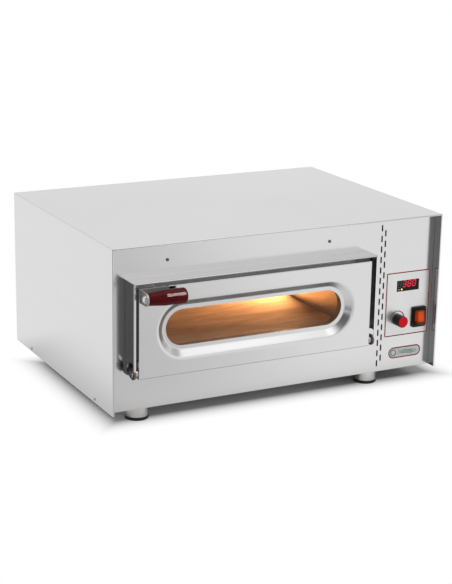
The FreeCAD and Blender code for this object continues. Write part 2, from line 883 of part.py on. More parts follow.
def make_door_collar():
    """Hood that the door closes into, with a lip at the front and a weld flange behind."""
    walls = collar_frame(collar_front, panel_front, collar_bottom, collar_sheet,
                         collar_sheet, collar_sheet)
    for side in (-1, 1):
        x0, x1 = span(side, bracket_outer - beyond, collar_half + beyond)
        walls = walls.cut(rod_x(x0, x1, pivot_y, pivot_z, collar_notch_radius))
    # the lips stop just above the hinge's eyes
    lip_back = collar_front + collar_sheet
    eye = bracket_eye_radius + fit_gap
    lip_bottom = pivot_z + math.sqrt(max(0.0, eye ** 2 - (lip_back - pivot_y) ** 2))
    lip = collar_frame(collar_front, lip_back, lip_bottom, collar_lip, collar_right_lip,
                       collar_top_lip)
    weld_bottom = pivot_z - bracket_arm_height + bracket_foot_height + fit_gap
    weld = collar_frame(panel_front - collar_sheet, panel_front, weld_bottom,
                        collar_weld_flange, collar_weld_flange, collar_weld_flange)
    return fused([walls, lip, weld]).common(bent_collar_block())


# ---------------------------------------------------------------- hinge

def hinge_bracket(side):
    """Eye on an arm that comes forward from the front panel, inside the collar's wall."""
    x0, x1 = span(side, bracket_outer - bracket_thickness, bracket_outer)
    bottom = pivot_z - bracket_arm_height
    eye = rod_x(x0, x1, pivot_y, pivot_z, bracket_eye_radius)
    arm = box(x0, x1, pivot_y, panel_front, bottom, pivot_z)
    f0, f1 = span(side, bracket_outer - bracket_foot_width, bracket_outer)
    foot = box(f0, f1, panel_front - bracket_foot_thickness, panel_front,
               bottom, bottom + bracket_foot_height)
    hole = rod_x(x0 - beyond, x1 + beyond, pivot_y, pivot_z, bush_radius + press_clearance)
    return fused([eye, arm, foot]).cut(hole)


def hinge_bush(side):
    """Flanged brass bush: the flange spaces the door, the sleeve sits in the eye."""
    flange_end = bracket_outer - bracket_thickness
    s0, s1 = span(side, flange_end, bracket_outer)
    f0, f1 = span(side, door_half + fit_gap, flange_end)
    sleeve = rod_x(s0, s1, pivot_y, pivot_z, bush_radius)
    flange = rod_x(f0, f1, pivot_y, pivot_z, bush_flange_radius)
    b0, b1 = span(side, door_half, bracket_outer + beyond)
    bore = rod_x(b0, b1, pivot_y, pivot_z, pin_radius + running_clearance)
    return fused([sleeve, flange]).cut(bore)


def hinge_pin(side):
    """Shoulder screw from outside, through the bush and into the door's hinge block."""
    under_head = bracket_outer + fit_gap
    end = under_head + pin_head_height
    p0, p1 = span(side, door_half - door_sheet - pin_grip, under_head)
    h0, h1 = span(side, under_head, end)
    s0, s1 = span(side, end - pin_slot, end + beyond)
    head = rod_x(h0, h1, pivot_y, pivot_z, pin_head_radius)
    shank = rod_x(p0, p1, pivot_y, pivot_z, pin_radius)
    slot = box(s0, s1, pivot_y - pin_head_radius, pivot_y + pin_head_radius,
               pivot_z - pin_slot / 2, pivot_z + pin_slot / 2)
    return fused([head, shank]).cut(slot)


def hinge_block_box(side, gap):
    x0, x1 = span(side, door_half - door_sheet - hinge_block_width, door_half - door_sheet)
    front = door_front + door_sheet
    bottom = door_bottom + door_sheet
    return box(x0 - gap, x1 + gap, front - gap, front + hinge_block_depth + gap,
               bottom - gap, bottom + hinge_block_height + gap)


def hinge_block(side):
    """Steel block welded inside the door's lower corner, threaded for the pin."""
    x0, x1 = span(side, door_half - door_sheet - hinge_block_width - beyond, door_half)
    bore = rod_x(x0, x1, pivot_y, pivot_z, pin_radius + press_clearance)
    return hinge_block_box(side, 0).cut(bore)


# ---------------------------------------------------------------- door

def offset_corner(points, index, distance):
    """Corner of the line that runs at that distance to the left of a bent line."""
    normals = []
    for start, end in ((index - 1, index), (index, index + 1)):
        if 0 <= start and end < len(points):
            run = (points[end] - points[start]).normalize()
            normals.append(Vector(-run.y, run.x, 0))
    bisector = (normals[0] + normals[-1]).normalize()
    return points[index] + bisector * (distance / bisector.dot(normals[0]))


def sheet_profile(points, radii, thickness):
    """Corners and radii of a bent sheet, from points along its front face."""
    backs = [offset_corner(points, index, thickness) for index in range(len(points))]
    back_radii = [0] * len(points)
    for index in range(1, len(points) - 1):
        before = points[index] - points[index - 1]
        after = points[index + 1] - points[index]
        turns_left = before.cross(after).z > 0
        back_radii[index] = radii[index] - thickness if turns_left else radii[index] + thickness
    return points + backs[::-1], radii + back_radii[::-1]


def pressed_dish():
    """Dish pressed into the door's sheet: one profile run round an obround path."""
    outer = window_height / 2
    points = [Vector(outer - dish_run - dish_rim, dish_depth, 0),
              Vector(outer - dish_run, dish_depth, 0),
              Vector(outer, 0, 0),
              Vector(outer + dish_border, 0, 0)]
    corners, radii = sheet_profile(points, [0, dish_foot_bend, dish_bend, 0], door_sheet)

    def section(x, side):
        ring = [Vector(x, door_front + corner.y, window_z + side * corner.x)
                for corner in corners]
        return Part.Face(path_wire(ring, radii, True))

    low_x = window_x - window_straight / 2
    high_x = window_x + window_straight / 2
    axis = Vector(0, 1, 0)
    return [section(low_x, -1).extrude(Vector(window_straight, 0, 0)),
            section(low_x, 1).extrude(Vector(window_straight, 0, 0)),
            section(low_x, 1).revolve(Vector(low_x, 0, window_z), axis, -180),
            section(high_x, 1).revolve(Vector(high_x, 0, window_z), axis, 180)]


def make_door_skin():
    """Outer door sheet: a pan with turned edges, return flanges and the window's dish."""
    block = box(door_left, door_right, door_front, inner_front, door_bottom, door_top)
    depth = inner_front - door_front
    bends = front_edges(block, door_front)
    bends += [edge for edge in block.Edges if edge.BoundBox.YLength > depth - 1e-6]
    block = block.makeFillet(door_bend, bends)
    hollow = box(door_left + door_sheet, door_right - door_sheet, door_front + door_sheet,
                 inner_front - door_sheet, door_bottom + door_sheet, door_top - door_sheet)
    open_back = box(door_left + door_return, door_right - door_return,
                    door_front + door_sheet, inner_front + beyond,
                    door_bottom + door_return, door_top - door_return)
    window = obround_y(window_x, window_z, window_width + 2 * dish_border,
                       window_height + 2 * dish_border, door_front - beyond,
                       door_front + door_sheet + beyond)
    pan = cut_all(block, [hollow, open_back, window])
    skin = fused([pan] + pressed_dish())
    pin_holes = [rod_x(x - 2 * beyond, x + 2 * beyond, pivot_y, pivot_z,
                       pin_radius + fit_gap) for x in (door_left, door_right)]
    return cut_all(skin, pin_holes + screw_holes(door_screw_places()))


def make_door_inner_panel():
    """Inner door sheet with a tunnel that reaches forward to the glass."""
    plate = box(door_left + fit_gap, door_right - fit_gap, inner_front, door_back,
                door_bottom + fit_gap, door_top - fit_gap)
    width = opening_width + 2 * tunnel_clearance
    height = opening_height + 2 * tunnel_clearance
    tunnel = obround_y(window_x, window_z, width + 2 * tunnel_sheet,
                       height + 2 * tunnel_sheet, glass_back + fit_gap, door_back)
    light = obround_y(window_x, window_z, width, height, glass_back, door_back + beyond)
    return cut_all(fused([plate, tunnel]), [light] + screw_holes(door_screw_places()))


def make_door_insulation():
    gap = door_sheet + fit_gap
    block = box(door_left + gap, door_right - gap, door_front + gap, inner_front - gap,
                door_bottom + gap, door_top - gap)
    window = obround_y(window_x, window_z, window_width + 2 * dish_border,
                       window_height + 2 * dish_border, door_front, door_back)
    glass = glass_outline(rim_back - fit_gap, glass_back + fit_gap, fit_gap)
    blocks = [hinge_block_box(side, fit_gap) for side in (-1, 1)]
    return cut_all(block, [window, glass] + blocks + screw_holes(door_screw_places()))


def glass_outline(y0, y1, gap):
    """Plate of the glass's outline, wider by the gap on every side."""
    half_width = opening_width / 2 + glass_overlap + gap
    half_height = opening_height / 2 + glass_overlap + gap
    return rounded_plate_y(window_x - half_width, window_x + half_width,
                           window_z - half_height, window_z + half_height,
                           y0, y1, glass_overlap + gap)


def make_glass_seal():
    light = obround_y(window_x, window_z, opening_width + 2 * glass_seal_inset,
                      opening_height + 2 * glass_seal_inset, rim_back - beyond,
                      glass_front + beyond)
    return glass_outline(rim_back, glass_front, 0).cut(light)


# ---------------------------------------------------------------- handle

def make_handle_bracket():
    """Angle bracket: a flange on the door's face and a lug that carries the grip."""
    top = door_top - handle_flange_drop
    bottom = top - handle_flange_height
    flange = box(lug_left, lug_left + handle_flange_width, door_front - handle_plate,
                 door_front, bottom, top)
    corners = [(door_front, bottom), (grip_y, grip_z - lug_radius),
               (grip_y, grip_z + lug_radius), (door_front, top)]
    lug = plate_x(corners, [0] * len(corners), lug_left, grip_left)
    end = rod_x(lug_left, grip_left, grip_y, grip_z, lug_radius)
    hole = rod_x(lug_left - beyond, grip_left + beyond, grip_y, grip_z,
                 handle_bolt_radius + press_clearance)
    return fused([flange, lug, end]).cut(hole)


def make_handle_grip():
    """Turned grip: it widens from the lug, then runs straight to a rounded end."""
    right = grip_left + grip_length
    outline = [Vector(grip_left, grip_y, grip_z),
               Vector(grip_left, grip_y, grip_z + grip_end_radius),
               Vector(grip_left + grip_taper_length, grip_y, grip_z + grip_radius),
               Vector(right, grip_y, grip_z + grip_radius),
               Vector(right, grip_y, grip_z)]
    radii = [0, grip_end_round, grip_taper_blend, grip_round, 0]
    face = Part.Face(path_wire(outline, radii, True))
    grip = face.revolve(Vector(0, grip_y, grip_z), Vector(1, 0, 0), 360)
    bore = rod_x(grip_left - beyond, grip_left + handle_bolt_reach + fit_gap,
                 grip_y, grip_z, handle_bolt_radius + press_clearance)
    return grip.cut(bore)


def make_handle_bolt():
    """Bolt with a domed head, from the lug's outer face into the grip."""
    shank = rod_x(lug_left, grip_left + handle_bolt_reach, grip_y, grip_z,
                  handle_bolt_radius)
    head = dome_x(lug_left, handle_bolt_head_height, grip_y, grip_z,
                  handle_bolt_head_radius)
    return fused([shank, head])


# ---------------------------------------------------------------- baking chamber

def element_tail_places():
    """(y, z) of the straight tails of both elements."""
    return [(y, z) for z in (upper_element_z, lower_element_z)
            for y in (first_leg_y, last_leg_y)]


def wall_passages(x0, x1):
    """Holes along X for the elements' tails, the lamp's cup and the probe."""
    tools = [rod_x(x0, x1, y, z, element_radius + element_hole_gap)
             for y, z in element_tail_places()]
    tools.append(rod_x(x0, x1, lamp_y, lamp_z, lamp_cup_radius + fit_gap))
    tools.append(rod_x(x0, x1, probe_y, probe_z, probe_radius + fit_gap))
    return tools


def make_mouth_frame():
    """Plate behind the front panel that carries the chamber and takes the panel screws."""
    outer = chamber_half + mouth_border
    top = casing_height - panel_screw_drop + mouth_frame_rise
    plate = box(chamber_x - outer, chamber_x + outer, panel_back, mouth_back,
                floor_underside, top)
    mouth = box(chamber_left, chamber_right, panel_back - beyond, mouth_back + beyond,
                mouth_bottom, mouth_top)
    return cut_all(plate, [mouth] + screw_holes(panel_screw_places()))


def make_mouth_seal():
    """Rope seal round the mouth that the door's back closes on."""
    outer = rounded_plate_y(chamber_x - seal_outer_half, chamber_x + seal_outer_half,
                            seal_bottom, seal_top, seal_front, panel_back,
                            seal_outer_corner)
    outer = outer.makeFillet(seal_round, front_edges(outer, seal_front))
    inner = rounded_plate_y(chamber_x - seal_inner_half, chamber_x + seal_inner_half,
                            seal_bottom + seal_width, seal_top - seal_width,
                            seal_front - beyond, panel_back + beyond, seal_inner_corner)
    return outer.cut(inner)


def make_chamber_shell():
    """Floor and both side walls of the chamber, bent from one sheet."""
    outer = box(chamber_left - chamber_sheet, chamber_right + chamber_sheet,
                mouth_back, chamber_back, floor_underside, ceiling)
    inner = box(chamber_left, chamber_right, mouth_back - beyond, chamber_back + beyond,
                chamber_floor, ceiling + beyond)
    wall_outside = chamber_right + chamber_sheet
    return cut_all(outer, [inner] + wall_passages(chamber_right - beyond,
                                                  wall_outside + beyond))


def make_chamber_cover():
    """Ceiling and rear wall of the chamber, bent from one sheet."""
    left = chamber_left - chamber_sheet
    right = chamber_right + chamber_sheet
    rear = chamber_back + chamber_sheet
    top = box(left, right, mouth_back, rear, ceiling, ceiling + chamber_sheet)
    wall = box(left, right, chamber_back, rear, floor_underside, ceiling + chamber_sheet)
    return fused([top, wall])


def stone_rail(side):
    """Z-shaped rail on the chamber's floor that carries one edge of the stone."""
    wall = chamber_half - fit_gap

    def strip(width, z0, z1):
        x0, x1 = span(side, wall - width, wall)
        return box(x0, x1, mouth_back + fit_gap, chamber_back - fit_gap, z0, z1)

    rail = fused([strip(rail_sheet, chamber_floor, stone_bottom),
                  strip(rail_top_width, stone_bottom - rail_sheet, stone_bottom),
                  strip(rail_foot_width, chamber_floor, chamber_floor + rail_sheet)])
    return cut_all(rail, wall_passages(chamber_right - rail_foot_width, chamber_right))


def make_baking_stone():
    stone = box(chamber_left + stone_side_gap, chamber_right - stone_side_gap,
                mouth_back + stone_end_gap, chamber_back - stone_end_gap,
                stone_bottom, stone_top)
    upper = [edge for edge in stone.Edges if edge.BoundBox.ZMin > stone_top - 1e-6]
    return stone.makeFillet(stone_edge, upper)


def make_element(z):
    """Serpentine tube with legs along X; both tails leave through the right wall."""
    points = [Vector(element_end, first_leg_y, z)]
    for index in range(element_leg_count - 1):
        x = element_right if index % 2 else element_left
        y = first_leg_y + index * leg_step
        points.append(Vector(x, y, z))
        points.append(Vector(x, y + leg_step, z))
    points.append(Vector(element_end, last_leg_y, z))
    wire = path_wire(points, [leg_step / 2] * len(points), False)
    ring = Part.makeCircle(element_radius, points[0], Vector(1, 0, 0))
    return wire.makePipeShell([Part.Wire([ring])], True, False)


def make_element_hangers():
    """Upright strips with a hole each, which hold the elements' outer legs."""
    spans = ((upper_element_z, upper_element_z - hanger_margin, ceiling),
             (lower_element_z, chamber_floor, lower_element_z + hanger_margin))
    hangers = []
    for x in (chamber_left + hanger_inset, chamber_right - hanger_inset - hanger_sheet):
        for y in (first_leg_y, last_leg_y):
            for z, low, high in spans:
                strip = box(x, x + hanger_sheet, y - hanger_width / 2,
                            y + hanger_width / 2, low, high)
                hole = rod_x(x - beyond, x + hanger_sheet + beyond, y, z,
                             element_radius + running_clearance)
                hangers.append(strip.cut(hole))
    return Part.makeCompound(hangers)


def make_terminal_beads():
    """Ceramic bushes that hold the elements' tails in the partition."""
    face = partition_x + partition_sheet
    beads = []
    for y, z in element_tail_places():
        flange = rod_x(face, face + bead_length, y, z, bead_radius)
        sleeve = rod_x(partition_x, face, y, z, bead_sleeve_radius)
        bore = rod_x(partition_x - beyond, face + bead_length + beyond, y, z,
                     element_radius + press_clearance)
        beads.append(fused([flange, sleeve]).cut(bore))
    return Part.makeCompound(beads)


def support_places():
    return (mouth_back + support_front_inset, chamber_back - support_rear_inset)


def support_block(y, gap):
    return box(chamber_left + support_end_inset - gap,
               chamber_right - support_end_inset + gap, y - gap,
               y + support_flange + gap, tray_sheet - gap, floor_underside + gap)


def make_chamber_supports():
    """Two channels between the tray and the chamber's floor."""
    supports = []
    for y in support_places():
        inside = box(chamber_left, chamber_right, y + support_sheet,
                     y + support_flange + beyond, tray_sheet + support_sheet,
                     floor_underside - support_sheet)
        supports.append(support_block(y, 0).cut(inside))
    return Part.makeCompound(supports)


# ---------------------------------------------------------------- insulation

def nut_pockets():
    return [rod_z(0, nut_pocket_top, x, y, nut_pocket_radius) for x, y in foot_places()]


def make_insulation_wrap():
    """One blanket over the chamber's left side, top and right side."""
    inner_left = chamber_left - chamber_sheet
    inner_right = chamber_right + chamber_sheet
    front = panel_flange_back + fit_gap
    back = chamber_back + chamber_sheet
    underside = ceiling + chamber_sheet
    outer = box(inner_left - insulation_side, inner_right + insulation_side, front, back,
                tray_sheet, underside + insulation_top)
    inner = box(inner_left, inner_right, front - beyond, back + beyond,
                tray_sheet - beyond, underside)
    return cut_all(outer, [inner] + nut_pockets() + wall_passages(chamber_right, partition_x))


def make_insulation_back():
    """Slab behind the chamber and behind the ends of the wrapped blanket."""
    front = chamber_back + chamber_sheet
    reach = chamber_sheet + insulation_side
    slab = box(chamber_left - reach, chamber_right + reach, front, front + insulation_rear,
               tray_sheet, ceiling + chamber_sheet + insulation_top)
    return cut_all(slab, nut_pockets())


def make_insulation_bottom():
    """Pad between the tray and the chamber's floor, cut out for the supports."""
    pad = box(chamber_left - chamber_sheet, chamber_right + chamber_sheet,
              panel_flange_back + fit_gap, chamber_back + chamber_sheet,
              tray_sheet, floor_underside)
    return cut_all(pad, nut_pockets() + [support_block(y, fit_gap)
                                         for y in support_places()])


# ---------------------------------------------------------------- lamp and probe

def make_lamp_housing():
    """Steel cup through the insulation with a flange on the chamber's wall."""
    wall = chamber_right
    end = wall + lamp_cup_depth
    cup = rod_x(wall, end, lamp_y, lamp_z, lamp_cup_radius)
    flange = rod_x(wall - lamp_flange_thickness, wall, lamp_y, lamp_z, lamp_flange_radius)
    hollow = rod_x(wall - lamp_flange_thickness - beyond, end - lamp_cup_wall,
                   lamp_y, lamp_z, lamp_cup_radius - lamp_cup_wall)
    socket = rod_x(end - lamp_socket_depth, end, lamp_y, lamp_z, lamp_bulb_radius)
    return fused([fused([cup, flange]).cut(hollow), socket])


def make_lamp_bulb():
    base = chamber_right + lamp_cup_depth - lamp_socket_depth
    round_end = base - lamp_bulb_length + lamp_bulb_radius
    body = rod_x(round_end, base, lamp_y, lamp_z, lamp_bulb_radius)
    return fused([body, Part.makeSphere(lamp_bulb_radius, Vector(round_end, lamp_y, lamp_z))])


def make_lamp_lens():
    """Domed glass over the lamp, seated on the cup's flange."""
    seat = chamber_right - lamp_flange_thickness
    face = seat - lamp_lens_rim
    inside = lamp_lens_radius - lamp_lens_glass
    inside_crown = lamp_lens_crown - lamp_lens_glass / 2
    outer = fused([rod_x(face, seat, lamp_y, lamp_z, lamp_lens_radius),
                   dome_x(face, lamp_lens_crown, lamp_y, lamp_z, lamp_lens_radius)])
    inner = fused([rod_x(face, seat + beyond, lamp_y, lamp_z, inside),
                   dome_x(face, inside_crown, lamp_y, lamp_z, inside)])
    return outer.cut(inner)


def make_temperature_probe():
    round_end = chamber_right - probe_reach + probe_radius
    end = partition_x + partition_sheet + probe_tail
    tube = rod_x(round_end, end, probe_y, probe_z, probe_radius)
    return fused([tube, Part.makeSphere(probe_radius, Vector(round_end, probe_y, probe_z))])


# ---------------------------------------------------------------- control bay

def make_control_partition():
    """Wall between the insulation and the controls, flanged to the panel and the tray."""
    back = back_front - tray_sheet - fit_gap
    low = panel_bottom + panel_sheet + fit_gap
    high = panel_top - panel_sheet - fit_gap
    foot_front = panel_flange_back + fit_gap
    face = partition_x + partition_sheet
    wall = box(partition_x, face, panel_back, back, low, high)
    front_flange = box(partition_x - partition_flange, face, panel_back,
                       panel_back + partition_sheet, low, high)
    web = box(partition_x, face, foot_front, back, tray_sheet, low)
    foot = box(partition_x, partition_x + partition_flange, foot_front, back,
               tray_sheet, tray_sheet + partition_sheet)
    holes = [rod_x(partition_x - beyond, face + beyond, y, z,
                   bead_sleeve_radius + press_clearance) for y, z in element_tail_places()]
    holes.append(rod_x(partition_x - beyond, face + beyond, probe_y, probe_z,
                       probe_radius + fit_gap))
    return cut_all(fused([wall, front_flange, web, foot]), holes)


def make_control_label():
    film = rounded_plate_y(label_left, label_right, label_bottom, label_top,
                           label_front, panel_front, label_corner)
    return cut_all(film, control_tools(label_front - beyond, panel_front + beyond))


def make_badge_plate():
    return obround_y(badge_x, badge_z, badge_width, badge_height,
                     panel_front - badge_thickness, panel_front)


def display_box(inset, y0, y1):
    return box(display_left + inset, display_right - inset, y0, y1,
               display_bottom + inset, display_top - inset)


def make_display_window():
    return display_box(fit_gap / 2, label_front, label_front + display_window_thickness)


def make_display_block():
    return display_box(display_block_inset, label_front + display_window_thickness,
                       board_front)


def make_control_board():
    """Circuit board behind the display, with a tongue down to the potentiometer."""
    foot = knob_z - board_tongue_foot
    left = min(display_left, knob_x) - board_margin
    right = display_right + board_margin
    tongue_right = left + board_tongue_width
    shoulder = display_bottom - board_margin
    top = display_top + board_margin
    corners = [(left, foot), (tongue_right, foot), (tongue_right, shoulder),
               (right, shoulder), (right, top), (left, top)]
    return plate_y(corners, [board_corner] * len(corners), board_front,
                   board_front + board_thickness)


def make_pot_body():
    """Potentiometer: round body behind the panel and threaded bush through it."""
    body = rod_y(panel_back, board_front, knob_x, knob_z, pot_body_radius)
    bush = rod_y(bush_front, panel_back, knob_x, knob_z, pot_bush_radius)
    bore = rod_y(bush_front - beyond, panel_back + shaft_foot + fit_gap,
                 knob_x, knob_z, shaft_radius + running_clearance)
    return fused([body, bush]).cut(bore)


def make_pot_nut():
    nut = hexagon_y(knob_x, knob_z, pot_nut_across, nut_front, label_front)
    return nut.cut(rod_y(nut_front - beyond, label_front + beyond, knob_x, knob_z,
                         pot_bush_radius + press_clearance))


def make_pot_shaft():
    return rod_y(shaft_front, panel_back + shaft_foot, knob_x, knob_z, shaft_radius)


def make_knob_body():
    """Knob with a seat for its cap, a bore for the shaft and room for the nut behind."""
    body = rod_y(knob_face, knob_back, knob_x, knob_z, knob_radius)
    rims = [edge for edge in body.Edges if edge.isClosed()]
    body = body.makeFillet(knob_edge, rims)
    recess = rod_y(knob_back - knob_recess_depth, knob_back + beyond, knob_x, knob_z,
                   knob_recess_radius)
    bore = rod_y(shaft_front - fit_gap, knob_back + beyond, knob_x, knob_z,
                 shaft_radius + press_clearance)
    seat = rod_y(knob_face - beyond, cap_seat, knob_x, knob_z,
                 knob_cap_radius + press_clearance)
    return cut_all(body, [recess, bore, seat])


def make_knob_cap():
    cap = rod_y(knob_front, cap_seat, knob_x, knob_z, knob_cap_radius)
    return cap.makeFillet(knob_cap_round, front_edges(cap, knob_front))


# ---------------------------------------------------------------- rocker switch

def switch_block(width, height, y0, y1):
    return box(switch_x - width / 2, switch_x + width / 2, y0, y1,
               switch_z - height / 2, switch_z + height / 2)


def switch_plate(width, height, y0, y1, radius):
    return rounded_plate_y(switch_x - width / 2, switch_x + width / 2,
                           switch_z - height / 2, switch_z + height / 2, y0, y1, radius)


def make_switch_frame():
    """Black frame on the label, open for the boot."""
    front = label_front - switch_frame_thickness
    frame = switch_plate(switch_frame_width, switch_frame_height, front, label_front,
                         switch_frame_corner)
    frame = frame.makeFillet(switch_frame_round, front_edges(frame, front))
    light = switch_block(boot_width + 2 * fit_gap, boot_height + 2 * fit_gap,
                         front - beyond, label_front + beyond)
    return frame.cut(light)


def make_switch_boot():
    """Clear cap over the rocker, open at the back."""
    outer = switch_plate(boot_width, boot_height, boot_front, label_front, boot_corner)
    outer = outer.makeFillet(boot_round, front_edges(outer, boot_front))
    inner = switch_plate(boot_width - 2 * boot_wall, boot_height - 2 * boot_wall,
                         boot_front + boot_wall, label_front + beyond,
                         boot_corner - boot_wall)
    return outer.cut(inner)


def make_switch_body():
    """Housing behind the panel, with a pocket for the rocker and four blades."""
    back = label_front + switch_body_depth
    body = switch_block(switch_body_width, switch_body_height, label_front, back)
    pocket_width = rocker_width + 2 * rocker_side_gap
    pocket = switch_block(pocket_width, rocker_height + 2 * rocker_end_gap,
                          label_front - beyond,
                          switch_pivot_y + rocker_root + rocker_pocket_gap)
    reach = pocket_width / 2 + rocker_stub_length
    stubs = rod_x(switch_x - reach, switch_x + reach, switch_pivot_y, switch_z,
                  rocker_stub_radius + running_clearance)
    blades = []
    for side in (-1, 1):
        for end in (-1, 1):
            x = switch_x + side * switch_body_width / 4
            z = switch_z + end * switch_body_height / 4
            blades.append(box(x - blade_width / 2, x + blade_width / 2, back,
                              back + blade_length, z - blade_thickness / 2,
                              z + blade_thickness / 2))
    return fused([cut_all(body, [pocket, stubs])] + blades)


def make_switch_rocker():
    """Rocker with a shallow V face, at rest with its upper end pressed in."""
    half = rocker_height / 2
    face = rocker_face + rocker_crown
    waist = half - rocker_end_taper
    root = half - rocker_root_taper
    corners = [(-half, face), (0, rocker_face), (half, face), (waist, rocker_waist),
               (root, -rocker_root), (-root, -rocker_root), (-waist, rocker_waist)]
    outline = [(switch_pivot_y - forward, switch_z + up) for up, forward in corners]
    radii = [rocker_round, 0, rocker_round, 0, rocker_round, rocker_round, 0]
    x0 = switch_x - rocker_width / 2
    x1 = switch_x + rocker_width / 2
    stub = rocker_stub_length - rocker_side_gap
    pivot = rod_x(x0 - stub, x1 + stub, switch_pivot_y, switch_z, rocker_stub_radius)
    rocker = fused([plate_x(outline, radii, x0, x1), pivot])
    rocker.rotate(Vector(0, switch_pivot_y, switch_z), Vector(1, 0, 0), -rocker_tilt)
    return rocker


# ---------------------------------------------------------------- power parts and gland

def make_power_relay():
    """Relay on the partition, with four blades towards the casing's side."""
    right = relay_left + relay_width
    body = box(relay_left, right, relay_y, relay_y + relay_depth, relay_rise,
               relay_rise + relay_height)
    long_edges = [edge for edge in body.Edges if edge.BoundBox.XLength > relay_width - 1e-6]
    body = body.makeFillet(relay_round, long_edges)
    blades = []
    for y in (relay_y + relay_depth / 4, relay_y + relay_depth * 3 / 4):
        for z in (relay_rise + relay_height / 4, relay_rise + relay_height * 3 / 4):
            blades.append(box(right, right + blade_length, y - blade_thickness / 2,
                              y + blade_thickness / 2, z - blade_width / 2,
                              z + blade_width / 2))
    return fused([body] + blades)


def make_terminal_block():
    """Terminal block on the tray: a wire hole and a screw hole for each way."""
    top = tray_sheet + terminal_height
    body = box(terminal_x, terminal_x + terminal_length, terminal_y,
               terminal_y + terminal_depth, tray_sheet, top)
    way = terminal_length / terminal_ways
    tools = []
    for index in range(terminal_ways):
        x = terminal_x + (index + 0.5) * way
        tools.append(rod_z(top - terminal_screw_depth, top + beyond, x,
                           terminal_y + terminal_depth / 2, terminal_screw_hole))
        tools.append(rod_y(terminal_y - beyond, terminal_y + terminal_depth + beyond, x,
                           tray_sheet + terminal_wire_rise, terminal_wire_hole))
    return cut_all(body, tools)


def make_cable_gland():
    """Gland body and cap on the back panel, bored for a mains cord."""
    hex_end = casing_back + gland_hex_height
    front = back_front - locknut_height - gland_thread_end
    thread = rod_y(front, casing_back, gland_x, gland_rise, gland_radius)
    collar = hexagon_y(gland_x, gland_rise, gland_hex, casing_back, hex_end)
    cap = rod_y(hex_end, back_most, gland_x, gland_rise, gland_cap_radius)
    rear_edge = [edge for edge in cap.Edges if edge.BoundBox.YMin > back_most - 1e-6]
    cap = cap.makeFillet(gland_cap_round, rear_edge)
    bore = rod_y(front - beyond, back_most + beyond, gland_x, gland_rise, gland_bore)
    return fused([thread, collar, cap]).cut(bore)


def make_gland_locknut():
    front = back_front - locknut_height
    nut = hexagon_y(gland_x, gland_rise, locknut_hex, front, back_front)
    return nut.cut(rod_y(front - beyond, back_front + beyond, gland_x, gland_rise,
                         gland_radius + press_clearance))


# ---------------------------------------------------------------- output

def save(name, shape):
    placed = shape.copy()
    placed.translate(origin_shift)
    placed.exportStep(os.path.join("parts", name + ".step"))


def main():
    os.makedirs("parts", exist_ok=True)
    pieces = {
        "casing_cover": make_casing_cover(),
        "base_tray": make_base_tray(),
        "back_panel": make_back_panel(),
        "front_panel": make_front_panel(),
        "door_collar": make_door_collar(),
        "control_partition": make_control_partition(),
        "casing_screws": screws(casing_screw_places()),
        "panel_screws": screws(panel_screw_places()),
        "foot_sleeves": at_each_foot(foot_sleeve),
        "foot_pads": at_each_foot(foot_pad),
        "foot_bolts": at_each_foot(foot_bolt),
        "chamber_shell": make_chamber_shell(),
        "chamber_cover": make_chamber_cover(),
        "mouth_frame": make_mouth_frame(),
        "mouth_seal": make_mouth_seal(),
        "stone_rails": on_both_sides(stone_rail),
        "baking_stone": make_baking_stone(),
        "upper_element": make_element(upper_element_z),
        "lower_element": make_element(lower_element_z),
        "element_hangers": make_element_hangers(),
        "terminal_beads": make_terminal_beads(),
        "chamber_supports": make_chamber_supports(),
        "insulation_wrap": make_insulation_wrap(),
        "insulation_back": make_insulation_back(),
        "insulation_bottom": make_insulation_bottom(),
        "lamp_housing": make_lamp_housing(),
        "lamp_bulb": make_lamp_bulb(),
        "lamp_lens": make_lamp_lens(),
        "temperature_probe": make_temperature_probe(),
        "power_relay": make_power_relay(),
        "terminal_block": make_terminal_block(),
        "cable_gland": make_cable_gland(),
        "gland_locknut": make_gland_locknut(),
        "control_label": make_control_label(),
        "badge_plate": make_badge_plate(),
        "display_window": make_display_window(),
        "display_block": make_display_block(),
        "control_board": make_control_board(),
        "pot_body": make_pot_body(),
        "pot_nut": make_pot_nut(),
        "pot_shaft": make_pot_shaft(),
        "knob_body": make_knob_body(),
        "knob_cap": make_knob_cap(),
        "switch_frame": make_switch_frame(),
        "switch_boot": make_switch_boot(),
        "switch_rocker": make_switch_rocker(),
        "switch_body": make_switch_body(),
        "hinge_brackets": on_both_sides(hinge_bracket),
        "hinge_bushes": on_both_sides(hinge_bush),
        "hinge_pins": on_both_sides(hinge_pin),
        "hinge_blocks": on_both_sides(hinge_block),
        "door_skin": make_door_skin(),
        "door_inner_panel": make_door_inner_panel(),
        "door_insulation": make_door_insulation(),
        "door_screws": screws(door_screw_places()),
        "window_glass": glass_outline(glass_front, glass_back, 0),
        "glass_seal": make_glass_seal(),
        "handle_bracket": make_handle_bracket(),
        "handle_grip": make_handle_grip(),
        "handle_bolt": make_handle_bolt(),
    }
    for name, shape in pieces.items():
        save(name, shape)


main()
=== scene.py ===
import json
import math

import bmesh
import bpy
from mathutils import Matrix, Vector


